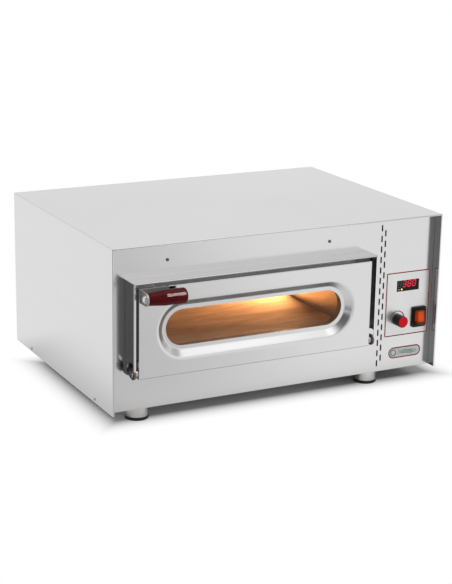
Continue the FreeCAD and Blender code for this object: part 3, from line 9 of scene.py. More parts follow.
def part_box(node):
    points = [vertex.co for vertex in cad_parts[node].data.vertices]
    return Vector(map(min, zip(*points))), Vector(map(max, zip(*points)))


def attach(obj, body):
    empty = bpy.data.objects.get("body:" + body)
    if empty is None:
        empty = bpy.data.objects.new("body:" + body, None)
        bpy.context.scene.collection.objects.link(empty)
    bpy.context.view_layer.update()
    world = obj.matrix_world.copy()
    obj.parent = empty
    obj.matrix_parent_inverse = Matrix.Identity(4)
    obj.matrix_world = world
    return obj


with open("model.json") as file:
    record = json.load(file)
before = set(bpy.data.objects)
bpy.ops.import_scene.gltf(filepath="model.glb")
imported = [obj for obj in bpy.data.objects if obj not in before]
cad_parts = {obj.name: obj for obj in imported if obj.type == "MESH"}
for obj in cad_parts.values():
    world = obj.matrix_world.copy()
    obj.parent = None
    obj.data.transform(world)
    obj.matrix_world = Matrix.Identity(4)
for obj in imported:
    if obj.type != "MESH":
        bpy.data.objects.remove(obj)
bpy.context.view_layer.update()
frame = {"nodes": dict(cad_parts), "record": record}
nodes = frame["nodes"]

MM = 0.001

# ------------------------------------------------------------ node trees


class Nodes:
    """Short ways to add nodes to the tree of a material or of the world."""

    def __init__(self, tree):
        self.tree = tree

    def node(self, kind, **properties):
        made = self.tree.nodes.new(kind)
        for name, value in properties.items():
            setattr(made, name, value)
        return made

    def link(self, output, target):
        self.tree.links.new(output, target)

    def math(self, operation, *values):
        made = self.node("ShaderNodeMath", operation=operation)
        for index, value in enumerate(values):
            if isinstance(value, (int, float)):
                made.inputs[index].default_value = value
            else:
                self.link(value, made.inputs[index])
        return made.outputs["Value"]

    def product(self, first, *others):
        for value in others:
            first = self.math("MULTIPLY", first, value)
        return first

    def inverse(self, value):
        """One minus the value."""
        return self.math("SUBTRACT", 1.0, value)

    def mixed(self, first, second, share):
        """That share of the first value, and the second for the rest."""
        return self.math("ADD", self.product(first, share), self.product(second, 1.0 - share))

    def span(self, value, low, high, from_low=0.3, from_high=0.7, kind="LINEAR"):
        """The low level below one value, the high level above another, a change between."""
        made = self.node("ShaderNodeMapRange", interpolation_type=kind)
        made.inputs["From Min"].default_value = from_low
        made.inputs["From Max"].default_value = from_high
        made.inputs["To Min"].default_value = low
        made.inputs["To Max"].default_value = high
        self.link(value, made.inputs["Value"])
        return made.outputs["Result"]

    def step(self, value, start, end, low=0.0, high=1.0):
        """A span whose change is smooth at both ends."""
        return self.span(value, low, high, start, end, "SMOOTHSTEP")

    def axes(self, coordinates):
        made = self.node("ShaderNodeSeparateXYZ")
        self.link(coordinates, made.inputs["Vector"])
        return made.outputs

    def seen(self, path):
        """1 for what the camera sees, straight, mirrored or through glass."""
        looking = self.math("MAXIMUM", path["Is Camera Ray"], path["Is Glossy Ray"])
        return self.math("MAXIMUM", looking, path["Is Transmission Ray"])


class Graph(Nodes):
    """One procedural material; every constant is set on the shader's own sockets."""

    def __init__(self, name, **values):
        self.material = bpy.data.materials.new(name)
        self.material.use_nodes = True
        super().__init__(self.material.node_tree)
        self.shader = self.tree.nodes["Principled BSDF"]
        self.place = self.node("ShaderNodeTexCoord").outputs["Object"]
        for socket, value in values.items():
            self.shader.inputs[socket.replace("_", " ")].default_value = value

    def feed(self, output, socket):
        self.link(output, self.shader.inputs[socket])

    def stretched(self, scale, turn=(0, 0, 0)):
        mapping = self.node("ShaderNodeMapping")
        mapping.inputs["Scale"].default_value = scale
        mapping.inputs["Rotation"].default_value = turn
        self.link(self.place, mapping.inputs["Vector"])
        return mapping.outputs["Vector"]

    def noise(self, scale, detail=2.0, rough=0.5, distortion=0.0):
        """Noise with one frequency, or one each along X, Y and Z, in cycles per metre."""
        made = self.node("ShaderNodeTexNoise")
        made.inputs["Scale"].default_value = 1.0
        made.inputs["Detail"].default_value = detail
        made.inputs["Roughness"].default_value = rough
        made.inputs["Distortion"].default_value = distortion
        if not isinstance(scale, tuple):
            scale = (scale, scale, scale)
        self.link(self.stretched(scale), made.inputs["Vector"])
        return made.outputs["Fac"]

    def cells(self, scale):
        made = self.node("ShaderNodeTexVoronoi")
        made.inputs["Scale"].default_value = 1.0
        self.link(self.stretched((scale, scale, scale)), made.inputs["Vector"])
        return made.outputs["Distance"]

    def waves(self, scale, turn, distortion=0.0):
        made = self.node("ShaderNodeTexWave")
        made.inputs["Scale"].default_value = 1.0
        made.inputs["Distortion"].default_value = distortion
        self.link(self.stretched((scale, scale, scale), turn), made.inputs["Vector"])
        return made.outputs["Fac"]

    def colours(self, value, stops):
        made = self.node("ShaderNodeValToRGB")
        ramp = made.color_ramp
        while len(ramp.elements) < len(stops):
            ramp.elements.new(0.5)
        for element, (at, colour) in zip(ramp.elements, stops):
            element.position = at
            element.color = (*colour, 1.0)
        self.link(value, made.inputs["Fac"])
        return made.outputs["Color"]

    def tinted(self, colour, factor):
        """The colour times one number."""
        made = self.node("ShaderNodeVectorMath", operation="SCALE")
        self.link(colour, made.inputs[0])
        self.link(factor, made.inputs["Scale"])
        return made.outputs["Vector"]

    def bump(self, height, depth_mm, strength, below=None):
        made = self.node("ShaderNodeBump")
        made.inputs["Strength"].default_value = strength
        made.inputs["Distance"].default_value = depth_mm * MM
        self.link(height, made.inputs["Height"])
        if below is not None:
            self.link(below, made.inputs["Normal"])
        self.feed(made.outputs["Normal"], "Normal")
        return made.outputs["Normal"]


# ------------------------------------------------------------ materials


def grey(value, warm=0.0):
    return (value * (1 + warm), value, value * (1 - warm))


def shade(colour, factor):
    return tuple(min(1.0, channel * factor) for channel in colour)


def lengthwise(along, fine, coarse):
    """Frequencies that are coarse along one axis and fine across it."""
    scale = [fine, fine, fine]
    scale["XYZ".index(along)] = coarse
    return tuple(scale)


def rolled_sheet(g, along):
    """Rolling lines as bump; gives back soft clouds, and the wear of lines and clouds."""
    lines = g.noise(lengthwise(along, 1600.0, 12.0), 3.0, 0.6)
    clouds = g.noise(7.0, 3.0, 0.55)
    g.bump(lines, 0.004, 0.35)
    return clouds, g.mixed(lines, clouds, 0.45)


def painted_shade_on_fold(g, node_name, depth, level):
    """Factor that is lower on the folded front edge along a node's top: painted shade standing
    in for the bend's dark line.
    """
    low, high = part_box(node_name)
    axes = g.axes(g.place)
    forward = g.span(axes["Y"], 1.0, 0.0, low.y + depth * 0.7, low.y + depth)
    upward = g.span(axes["Z"], 0.0, 1.0, high.z - depth * 1.4, high.z - depth)
    return g.inverse(g.product(forward, upward, 1.0 - level))


def painted_low_shade(g, height, level):
    """Factor that is lower on what lies under a height: painted shade."""
    return g.span(g.axes(g.place)["Z"], level, 1.0, height, height + 5 * MM)


def steel(name, tone, roughness, along, streak=0.04, metallic=1.0, fold_shade=None,
          shade_under=None):
    """Rolled or brushed sheet: fine lines along one axis, broad streaks and soft clouds."""
    g = Graph(name, Metallic=metallic, Anisotropic=0.3)
    clouds, worn = rolled_sheet(g, along)
    streaks = g.noise(lengthwise(along, 120.0, 2.5), 4.0, 0.6)
    skin = g.colours(g.mixed(streaks, clouds, 0.5), [(0.35, grey(tone * (1 - streak))),
                                                     (0.65, grey(tone * (1 + streak)))])
    # painted shade: a darker line along the folded front edge
    if fold_shade is not None:
        skin = g.tinted(skin, painted_shade_on_fold(g, *fold_shade))
    # painted shade on what lies under a height
    if shade_under is not None:
        skin = g.tinted(skin, painted_low_shade(g, *shade_under))
    g.feed(skin, "Base Color")
    g.feed(g.span(worn, roughness - 0.05, roughness + 0.05), "Roughness")
    return g.material


def door_steel():
    """Door sheet: flat as rolled, duller in the pressed dish, with painted shade darkening its
    bottom and top edges.
    """
    g = Graph("door_steel", Anisotropic=0.3)
    low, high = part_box("door_skin")
    axes = g.axes(g.place)
    clouds, worn = rolled_sheet(g, "X")
    skin = g.colours(clouds, [(0.35, grey(0.652)), (0.65, grey(0.668))])
    # painted shade along the bottom and top edges
    lower = g.span(axes["Z"], 0.72, 1.0, low.z + 1.3 * MM, low.z + 1.9 * MM)
    upper = g.span(axes["Z"], 1.0, 0.84, high.z - 2.6 * MM, high.z - 1.6 * MM)
    g.feed(g.tinted(skin, g.product(lower, upper)), "Base Color")
    pressed = g.span(axes["Y"], 0.0, 1.0, low.y + 0.8 * MM, low.y + 2.5 * MM)
    g.feed(g.inverse(g.product(pressed, 0.08)), "Metallic")
    g.feed(g.math("ADD", g.span(worn, 0.12, 0.22), g.product(pressed, 0.06)), "Roughness")
    return g.material


def plastic(name, colour, roughness, grain=900.0, depth=0.02, spread=0.08, **extra):
    """Moulded plastic or rubber: fine spark-eroded grain and slight mottling."""
    g = Graph(name, **extra)
    pores = g.noise(grain, 2.0, 0.6)
    clouds = g.noise(40.0, 3.0, 0.6)
    g.feed(g.colours(clouds, [(0.3, shade(colour, 0.86)), (0.7, shade(colour, 1.12))]),
           "Base Color")
    g.feed(g.span(clouds, roughness - spread, roughness + spread), "Roughness")
    g.bump(pores, depth, 0.5)
    return g.material


def plated(name, tone, roughness, warm=0.0):
    """Plated or turned small metal parts: fine pits and a cloudy finish."""
    g = Graph(name, Metallic=1.0)
    pits = g.noise(1400.0, 3.0, 0.6)
    clouds = g.noise(90.0, 3.0, 0.6)
    g.feed(g.colours(clouds, [(0.3, grey(tone * 0.9, warm)), (0.7, grey(tone, warm))]),
           "Base Color")
    g.feed(g.span(clouds, roughness * 0.7, roughness * 1.3), "Roughness")
    g.bump(pits, 0.006, 0.4)
    return g.material


def foot_steel():
    """Turned sleeve: rings round the upright axis."""
    g = Graph("foot_steel", Metallic=1.0, Anisotropic=0.5)
    rings = g.noise((60.0, 60.0, 2600.0), 3.0, 0.6)
    clouds = g.noise(60.0, 2.0)
    g.feed(g.colours(clouds, [(0.3, (0.70, 0.68, 0.66)), (0.7, (0.78, 0.765, 0.75))]),
           "Base Color")
    g.feed(g.span(rings, 0.26, 0.44), "Roughness")
    g.bump(rings, 0.01, 0.4)
    return g.material


SOOT_COLOUR = 0.30
SOOT_ROUGHNESS = 0.35


def chamber_steel():
    """Aluminised sheet that has been heated: rolling lines and straw-coloured patches."""
    g = Graph("chamber_steel", Metallic=0.8)
    heat = g.noise(9.0, 4.0, 0.6)
    rolled = g.noise((8.0, 8.0, 260.0), 4.0, 0.6)
    tone = g.colours(heat, [(0.3, (0.60, 0.54, 0.47)), (0.7, (0.68, 0.65, 0.62))])
    # soot covers the mouth, from the door's half-wiped inner panel back to the stone
    depth = g.axes(g.place)["Y"]
    stone_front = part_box("baking_stone")[0].y
    door_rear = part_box("door_inner_panel")[1].y
    clean = g.span(depth, 0.0, 1.0, stone_front - 4 * MM, stone_front + 6 * MM)
    wiped = g.span(depth, 0.5, 0.0, door_rear + 0.5 * MM, door_rear + 2 * MM)
    bare = g.product(g.math("MAXIMUM", clean, wiped), 1.0 - SOOT_COLOUR)
    g.feed(g.tinted(tone, g.math("ADD", SOOT_COLOUR, bare)), "Base Color")
    g.feed(g.math("ADD", g.span(rolled, 0.26, 0.40),
                  g.product(g.inverse(clean), SOOT_ROUGHNESS)), "Roughness")
    g.bump(g.noise((30.0, 900.0, 900.0), 3.0), 0.01, 0.4)
    return g.material


def baking_stone():
    """Fired cordierite: fine grains, cell-like pores, and streaks that are partly scorched
    patches and partly a painted reflection of the glow.
    """
    g = Graph("baking_stone", Specular_IOR_Level=0.25)
    grains = g.noise(700.0, 4.0, 0.7)
    pores = g.cells(330.0)
    # streaks along X: partly scorched patches, partly a painted reflection of the glowing
    # elements
    scorch_and_glow_streaks = g.noise((5.0, 26.0, 26.0), 4.0, 0.65, 0.4)
    g.feed(g.colours(g.mixed(grains, scorch_and_glow_streaks, 0.25), [
        (0.3, (0.30, 0.22, 0.17)), (0.5, (0.56, 0.46, 0.38)), (0.7, (0.84, 0.74, 0.62))]),
        "Base Color")
    g.feed(g.span(grains, 0.75, 0.95), "Roughness")
    g.bump(pores, 0.12, 0.5, g.bump(grains, 0.08, 0.6))
    return g.material


def rope_fibre():
    """Braided glass-fibre rope: two crossing sets of strands."""
    g = Graph("seal_fibre", Sheen_Weight=0.3, Roughness=0.9)
    one = g.waves(420.0, (0, math.radians(45), 0))
    other = g.waves(420.0, (0, math.radians(-45), 0))
    weave = g.product(one, other)
    g.feed(g.colours(weave, [(0.0, (0.22, 0.20, 0.17)), (1.0, (0.66, 0.62, 0.54))]),
           "Base Color")
    g.bump(weave, 0.5, 0.7)
    return g.material


def wool():
    """Mineral wool: fine fibres in soft clumps."""
    g = Graph("insulation_wool", Sheen_Weight=0.4, Roughness=0.95)
    fibres = g.noise((220.0, 1800.0, 900.0), 5.0, 0.7, 0.6)
    clumps = g.noise(60.0, 4.0, 0.7)
    mix = g.mixed(fibres, clumps, 0.5)
    g.feed(g.colours(mix, [(0.3, (0.42, 0.36, 0.22)), (0.7, (0.76, 0.70, 0.54))]),
           "Base Color")
    g.bump(mix, 1.2, 0.8)
    return g.material


def element_steel():
    """Sheathed tube, dark with oxide, in lighter and darker stretches."""
    g = Graph("element_steel", Metallic=0.7)
    oxide = g.noise(240.0, 5.0, 0.7)
    heat = g.noise((6.0, 18.0, 18.0), 2.0)
    g.feed(g.colours(g.mixed(oxide, heat, 0.4), [(0.3, (0.10, 0.085, 0.08)),
                                                 (0.7, (0.24, 0.21, 0.20))]), "Base Color")
    g.feed(g.span(oxide, 0.4, 0.65), "Roughness")
    g.bump(oxide, 0.02, 0.5)
    return g.material


def label_film():
    """Silver printed film with a satin face."""
    g = Graph("label_film", Metallic=0.75, Coat_Weight=0.35, Coat_Roughness=0.22)
    grain = g.noise((60.0, 60.0, 1900.0), 3.0, 0.6)
    clouds = g.noise(30.0, 2.0)
    g.feed(g.colours(clouds, [(0.3, grey(0.70)), (0.7, grey(0.74))]), "Base Color")
    g.feed(g.span(grain, 0.24, 0.36), "Roughness")
    g.bump(grain, 0.006, 0.3)
    return g.material


def printed(name, colour, roughness=0.4, specular=0.4):
    """Screen-printed ink: slight mottle and orange-peel."""
    g = Graph(name, Specular_IOR_Level=specular)
    peel = g.noise(1500.0, 2.0)
    mottle = g.noise(300.0, 3.0)
    g.feed(g.colours(mottle, [(0.3, shade(colour, 0.8)), (0.7, shade(colour, 1.15))]),
           "Base Color")
    g.feed(g.span(mottle, roughness - 0.08, roughness + 0.08), "Roughness")
    g.bump(peel, 0.01, 0.4)
    return g.material


def lit(name, colour, strength):
    """A face lit from behind, a little uneven from place to place."""
    g = Graph(name, Roughness=0.3, Emission_Strength=strength)
    glow = g.colours(g.noise(260.0, 2.0), [(0.3, shade(colour, 0.75)), (0.7, colour)])
    g.feed(glow, "Base Color")
    g.feed(glow, "Emission Color")
    g.bump(g.noise(1800.0, 2.0), 0.006, 0.3)
    return g.material


def rocker_orange():
    """Orange rocker lit from inside: brightest in the middle of its face, dim at the sides."""
    g = Graph("rocker_orange", Roughness=0.35)
    low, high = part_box("switch_rocker")
    axes = g.axes(g.place)
    across = g.math("ABSOLUTE", g.math("SUBTRACT", axes["X"], (low.x + high.x) / 2))
    upright = g.math("ABSOLUTE", g.math("SUBTRACT", axes["Z"], (low.z + high.z) / 2))
    middle = g.product(g.span(across, 1.0, 0.0, 4.6 * MM, 7.6 * MM),
                       g.span(upright, 1.0, 0.45, 3.0 * MM, 10.0 * MM))
    grain = g.noise(300.0, 2.0)
    g.feed(g.colours(grain, [(0.3, (0.40, 0.10, 0.02)), (0.7, (0.46, 0.12, 0.03))]),
           "Base Color")
    g.feed(g.colours(grain, [(0.3, (0.90, 0.130, 0.006)), (0.7, (1.0, 0.155, 0.008))]),
           "Emission Color")
    g.feed(g.math("ADD", 0.25, g.product(middle, 1.55)), "Emission Strength")
    g.bump(grain, 0.01, 0.3)
    return g.material


def circuit_board():
    """Green solder mask over copper tracks."""
    g = Graph("circuit_board", Coat_Weight=0.5, Coat_Roughness=0.15)
    across = g.waves(260.0, (0, 0, 0), 2.0)
    up = g.waves(200.0, (0, math.radians(90), 0), 3.0)
    tracks = g.math("MAXIMUM", across, up)
    g.feed(g.colours(tracks, [(0.7, (0.012, 0.075, 0.03)), (0.85, (0.03, 0.17, 0.07))]),
           "Base Color")
    g.feed(g.span(tracks, 0.3, 0.45, 0.0, 1.0), "Roughness")
    g.bump(tracks, 0.03, 0.5)
    return g.material


def grip_plastic():
    """Phenolic grip: deep red with darker marbling under a polished skin."""
    g = Graph("grip_bordeaux", Specular_IOR_Level=0.08)
    marble = g.noise((26.0, 60.0, 60.0), 5.0, 0.65, 1.2)
    g.feed(g.colours(marble, [(0.3, (0.058, 0.001, 0.002)), (0.55, (0.092, 0.002, 0.003)),
                              (0.75, (0.130, 0.004, 0.005))]), "Base Color")
    g.feed(g.span(marble, 0.11, 0.15), "Roughness")
    g.bump(g.noise(500.0, 2.0), 0.006, 0.3)
    return g.material


def clear(name, tint, roughness, ior=1.45):
    """Glass or clear plastic with faint wipe marks."""
    g = Graph(name, IOR=ior, Transmission_Weight=1.0)
    wipes = g.noise((40.0, 40.0, 160.0), 4.0, 0.6)
    g.feed(g.colours(wipes, [(0.3, shade(tint, 0.97)), (0.7, tint)]), "Base Color")
    g.feed(g.span(wipes, roughness, roughness + 0.03), "Roughness")
    return g.material


def boot_amber():
    """Clear amber cap over the rocker; thin enough to see the lit rocker through."""
    g = Graph("boot_amber", IOR=1.2, Transmission_Weight=0.85)
    wipes = g.noise(120.0, 3.0)
    g.feed(g.colours(wipes, [(0.3, (0.42, 0.19, 0.08)), (0.7, (0.52, 0.25, 0.11))]),
           "Base Color")
    g.feed(g.span(wipes, 0.06, 0.14), "Roughness")
    g.bump(g.noise(300.0, 2.0), 0.01, 0.4)
    return g.material


MATERIALS = {
    # the casing and the collar get painted shade along their folded front edges
    "casing_steel": steel("casing_steel", 0.70, 0.20, "Y", streak=0.012,
                          fold_shade=("casing_cover", 1.6 * MM, 0.62)),
    "tray_steel": steel("tray_steel", 0.60, 0.30, "X"),
    "panel_steel": steel("panel_steel", 0.66, 0.17, "X", streak=0.012),
    "collar_steel": steel("collar_steel", 0.77, 0.16, "X", streak=0.012,
                          fold_shade=("door_collar", 2.6 * MM, 0.55)),
    "door_steel": door_steel(),
    "chamber_steel": chamber_steel(),
    # the hinge brackets get painted shade below their top
    "bracket_steel": steel("bracket_steel", 0.40, 0.42, "X", metallic=0.6,
                           shade_under=(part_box("hinge_brackets")[1].z, 0.35)),
    "screw_steel": plated("screw_steel", 0.66, 0.25),
    "dark_screw": plated("dark_screw", 0.16, 0.35),
    "foot_steel": foot_steel(),
    "foot_rubber": plastic("foot_rubber", grey(0.012), 0.55, 500.0, 0.06),
    "seal_fibre": rope_fibre(),
    "baking_stone": baking_stone(),
    "element_steel": element_steel(),
    "insulation_wool": wool(),
    "lamp_cup": plated("lamp_cup", 0.8, 0.18),
    "lamp_glass": clear("lamp_glass", (1.0, 0.97, 0.92), 0.05),
    "lamp_bulb": lit("lamp_bulb", (1.0, 0.55, 0.18), 6.0),
    "probe_steel": plated("probe_steel", 0.6, 0.3),
    "ceramic_white": plastic("ceramic_white", (0.78, 0.75, 0.70), 0.4, 600.0, 0.03),
    "relay_case": plastic("relay_case", (0.03, 0.05, 0.12), 0.35),
    "gland_plastic": plastic("gland_plastic", grey(0.02), 0.45, 500.0, 0.05),
    "label_film": label_film(),
    "badge_enamel": printed("badge_enamel", (0.76, 0.77, 0.77), 0.3),
    "display_face": plastic("display_face", (0.014, 0.011, 0.012), 0.14, spread=0.04,
                            Specular_IOR_Level=0.12),
    "display_case": plastic("display_case", grey(0.05), 0.4),
    "circuit_board": circuit_board(),
    "pot_metal": plated("pot_metal", 0.55, 0.35),
    "brass_nut": plated("brass_nut", 0.46, 0.35, 0.16),
    "shaft_alloy": plated("shaft_alloy", 0.65, 0.3),
    "knob_black": plastic("knob_black", grey(0.007), 0.32, 700.0, 0.04,
                          Specular_IOR_Level=0.25),
    "knob_red": plastic("knob_red", (0.84, 0.010, 0.020), 0.40, Specular_IOR_Level=0.12),
    "switch_black": plastic("switch_black", grey(0.006), 0.3, 700.0, 0.04,
                            Specular_IOR_Level=0.2),
    "boot_amber": boot_amber(),
    "rocker_orange": rocker_orange(),
    "window_glass": clear("window_glass", (0.97, 0.98, 0.97), 0.0, 1.15),
    "gasket_black": plastic("gasket_black", grey(0.02), 0.6, 400.0, 0.08),
    "grip_bordeaux": grip_plastic(),
    "bolt_chrome": plated("bolt_chrome", 0.95, 0.34),
    "print_red": printed("print_red", (0.30, 0.012, 0.022), 0.5, 0.1),
    "print_green": printed("print_green", (0.03, 0.26, 0.13)),
    "digit_lit": lit("digit_lit", (0.85, 0.012, 0.045), 0.8),
    "digit_dark": printed("digit_dark", (0.095, 0.12, 0.11), 0.4, 0.1),
    "lamp_yellow": lit("lamp_yellow", (1.0, 0.90, 0.25), 1.2),
    "lamp_pale": lit("lamp_pale", (0.62, 0.64, 0.42), 0.5),
}

slot_of = {row["node"]: row["material_slot"] for row in frame["record"]["subparts"]}
for node_name, cad_node in nodes.items():
    cad_node.data.materials.clear()
    cad_node.data.materials.append(MATERIALS[slot_of[node_name]])

# ------------------------------------------------------------ pieces on the control panel


def finish_piece(name, bm, material, body):
    mesh = bpy.data.meshes.new(name)
    bm.to_mesh(mesh)
    bm.free()
    made = bpy.data.objects.new(name, mesh)
    bpy.context.scene.collection.objects.link(made)
    made.data.materials.append(MATERIALS[material])
    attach(made, body)


def pairs_round(count):
    """Each index with the next one, and the last with the first."""
    return [(index, (index + 1) % count) for index in range(count)]


def add_prism(bm, outline, back, front):
    """Closed plate facing -Y from (x, z) points in order, between two Y values."""
    rear = [bm.verts.new((x, back, z)) for x, z in outline]
    face = [bm.verts.new((x, front, z)) for x, z in outline]
    bm.faces.new(face)
    bm.faces.new(rear[::-1])
    for index, following in pairs_round(len(outline)):
        bm.faces.new((rear[index], rear[following], face[following], face[index]))


def add_band(bm, outer, inner, back, front, closed=True):
    """Flat band facing -Y between two matching rows of (x, z) points."""
    rows = []
    for y in (front, back):
        rows.append([bm.verts.new((x, y, z)) for x, z in outer])
        rows.append([bm.verts.new((x, y, z)) for x, z in inner])
    outer_front, inner_front, outer_back, inner_back = rows
    steps = pairs_round(len(outer))
    for index, following in steps if closed else steps[:-1]:
        for first, second in ((outer_front, inner_front), (inner_front, inner_back),
                              (inner_back, outer_back), (outer_back, outer_front)):
            bm.faces.new((first[index], first[following], second[following], second[index]))
    if not closed:
        for index in (0, len(outer) - 1):
            bm.faces.new((outer_front[index], inner_front[index], inner_back[index],
                          outer_back[index]))
    bmesh.ops.recalc_face_normals(bm, faces=bm.faces)


def rounded_outline(x0, x1, z0, z1, radius, steps=8):
    points = []
    corners = ((x1 - radius, z1 - radius, 0), (x0 + radius, z1 - radius, 90),
               (x0 + radius, z0 + radius, 180), (x1 - radius, z0 + radius, 270))
    for x, z, start in corners:
        for step in range(steps + 1):
            angle = math.radians(start + 90 * step / steps)
            points.append((x + radius * math.cos(angle), z + radius * math.sin(angle)))
    return points


def circle(x, z, radius, count):
    turns = [2 * math.pi * step / count for step in range(count)]
    return [(x + radius * math.cos(t), z + radius * math.sin(t)) for t in turns]


# the ink reaches this far into the plate's face and as far out of it
PRINT_DEPTH = 0.06 * MM
PRINT_EDGE = 0.4 * MM
PRINT_WIDTH = 1.9 * MM
LABEL_CORNER = 2.2 * MM
BADGE_CORNER = 9.8 * MM
RING_PLACE = 10.2 * MM
RING_OUTER = 6.4 * MM
RING_INNER = 4.6 * MM
BARS_START = 20 * MM
BARS_END = 9 * MM
BARS_PITCH = 2.4 * MM
BARS_WAVE = 0.8 * MM
ARC_REACH = 15.4 * MM
ARC_FROM = 172
ARC_SWEEP = 170

label_low, label_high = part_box("control_label")
badge_low, badge_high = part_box("badge_plate")
badge_middle = (badge_low.z + badge_high.z) / 2


def print_band(name, rows, face, material, closed=True):
    """Printed lines on a face, each between two rows of points."""
    bm = bmesh.new()
    for outer, inner in rows:
        add_band(bm, outer, inner, face + PRINT_DEPTH, face - PRINT_DEPTH, closed)
    finish_piece(name, bm, material, "oven")


def outline_ring(name, low, high, radius):
    """Printed line that follows the edge of a plate."""
    deep = PRINT_EDGE + PRINT_WIDTH
    outer = rounded_outline(low.x + PRINT_EDGE, high.x - PRINT_EDGE, low.z + PRINT_EDGE,
                            high.z - PRINT_EDGE, radius)
    inner = rounded_outline(low.x + deep, high.x - deep, low.z + deep, high.z - deep,
                            radius - PRINT_WIDTH)
    print_band(name, [(outer, inner)], low.y, "print_red")


def badge_bars():
    """Three plain wavy lines in place of lettering."""
    left = badge_low.x + BARS_START
    right = badge_high.x - BARS_END
    rows = []
    for row in (-1, 0, 1):
        outer = []
        inner = []
        for step in range(41):
            share = step / 40
            x = left + (right - left) * share
            z = badge_middle + row * BARS_PITCH + BARS_WAVE * math.sin(2 * math.pi * share)
            half = (0.25 + 0.45 * math.sin(math.pi * share)) * MM
            outer.append((x, z + half))
            inner.append((x, z - half))
        rows.append((outer, inner))
    print_band("badge_bars", rows, badge_low.y, "print_green", False)


def badge_ring():
    """Plain ring at the left end of the plate."""
    x = badge_low.x + RING_PLACE
    ring = (circle(x, badge_middle, RING_OUTER, 40), circle(x, badge_middle, RING_INNER, 40))
    print_band("badge_ring", [ring], badge_low.y, "print_green")


def scale_arc():
    """Printed arc over the knob that widens towards the hot end."""
    knob_low, knob_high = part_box("knob_body")
    x = (knob_low.x + knob_high.x) / 2
    z = (knob_low.z + knob_high.z) / 2
    outer = []
    inner = []
    steps = 48
    for step in range(steps + 1):
        share = step / steps
        angle = math.radians(ARC_FROM - ARC_SWEEP * share)
        half = (0.35 + 0.75 * share) * MM
        for row, reach in ((outer, ARC_REACH + half), (inner, ARC_REACH - half)):
            row.append((x + reach * math.cos(angle), z + reach * math.sin(angle)))
    print_band("scale_arc", [(outer, inner)], label_low.y, "print_red", False)


outline_ring("label_outline", label_low, label_high, LABEL_CORNER)
outline_ring("badge_outline", badge_low, badge_high, BADGE_CORNER)
badge_bars()
badge_ring()
scale_arc()

# ------------------------------------------------------------ display digits

DIGIT_HEIGHT = 10.7 * MM
DIGIT_WIDTH = 6.2 * MM
DIGIT_STROKE = 1.45 * MM
DIGIT_GAP = 0.2 * MM
DIGIT_SLANT = math.tan(math.radians(8))
DIGITS_DOWN = 1.6 * MM
# the first digit's left side and the step to the next, as shares of the window's width
DIGITS_START = 0.050
DIGITS_PITCH = 0.215
INDICATORS_UP = 3.4 * MM
# how far the digits and the indicators reach into the window, and the digits out of it
SEATED = 0.02 * MM
DIGIT_RAISED = 0.03 * MM
SEGMENTS = {
    "top": ((0, 1), (1, 1)), "middle": ((0, 0.5), (1, 0.5)), "bottom": ((0, 0), (1, 0)),
    "upper_left": ((0, 0.5), (0, 1)), "upper_right": ((1, 0.5), (1, 1)),
    "lower_left": ((0, 0), (0, 0.5)), "lower_right": ((1, 0), (1, 0.5)),
}
LIT = {"8": set(SEGMENTS), "0": set(SEGMENTS) - {"middle"},
       "3": set(SEGMENTS) - {"upper_left", "lower_left"}, " ": set()}

display_low, display_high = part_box("display_window")
display_width = display_high.x - display_low.x


def segment_outline(left, bottom, ends):
    """Six-cornered bar between two ends, with a small gap at each and the digit's slant."""
    (ax, az), (bx, bz) = ends
    a = Vector((left + ax * DIGIT_WIDTH, bottom + az * DIGIT_HEIGHT))
    b = Vector((left + bx * DIGIT_WIDTH, bottom + bz * DIGIT_HEIGHT))
    along = (b - a).normalized()
    side = Vector((-along.y, along.x)) * DIGIT_STROKE / 2
    tip = along * DIGIT_GAP
    taper = along * (DIGIT_STROKE / 2 + DIGIT_GAP)
    points = [a + tip, a + taper + side, b - taper + side, b - tip, b - taper - side,
              a + taper - side]
    return [(p.x + (p.y - bottom) * DIGIT_SLANT, p.y) for p in points]


def display_digits():
    bright = bmesh.new()
    dark = bmesh.new()
    bottom = display_high.z - DIGITS_DOWN - DIGIT_HEIGHT
    face = display_low.y
    for index, character in enumerate(" 380"):
        left = display_low.x + display_width * (DIGITS_START + DIGITS_PITCH * index)
        for name, ends in SEGMENTS.items():
            add_prism(bright if name in LIT[character] else dark,
                      segment_outline(left, bottom, ends), face + SEATED,
                      face - DIGIT_RAISED)
    for bm in (bright, dark):
        bmesh.ops.recalc_face_normals(bm, faces=bm.faces)
    finish_piece("digits_lit", bright, "digit_lit", "oven")
    finish_piece("digits_unlit", dark, "digit_dark", "oven")


def indicator(name, share, radius, material):
    """Round indicator under the digits, slightly domed."""
    bm = bmesh.new()
    x = display_low.x + display_width * share
    z = display_low.z + INDICATORS_UP
    rows = []
    for reach, offset in ((radius, SEATED), (radius, -0.05 * MM), (radius * 0.6, -0.12 * MM)):
        rows.append([bm.verts.new((px, display_low.y + offset, pz))
                     for px, pz in circle(x, z, reach, 20)])
    bm.faces.new(rows[0])
    bm.faces.new(rows[-1])
    for first, second in zip(rows, rows[1:]):
        for index, following in pairs_round(20):
            bm.faces.new((first[index], first[following], second[following], second[index]))
    bmesh.ops.recalc_face_normals(bm, faces=bm.faces)
    finish_piece(name, bm, material, "oven")


display_digits()
indicator("indicator_heat", 0.10, 1.0 * MM, "lamp_pale")
indicator("indicator_power", 0.225, 1.5 * MM, "lamp_yellow")

# ------------------------------------------------------------ floor

FLOOR_SIZE = 8.0
FLOOR_ALBEDO = 0.84
# painted shadow: the paper is greyer under the oven's right end, which the lamps light more
# than the left
PAINTED_SHADOW_SPAN = (0.08, 0.30)
PAINTED_SHADOW_LEVEL = 0.42
# how far outside the casing the shadow stays, and where it fades
FLOOR_SHADOW_LEFT = 0.030
FLOOR_SHADOW_RIGHT = 0.085
FLOOR_SHADOW_FADE = (-0.063, 0.000)
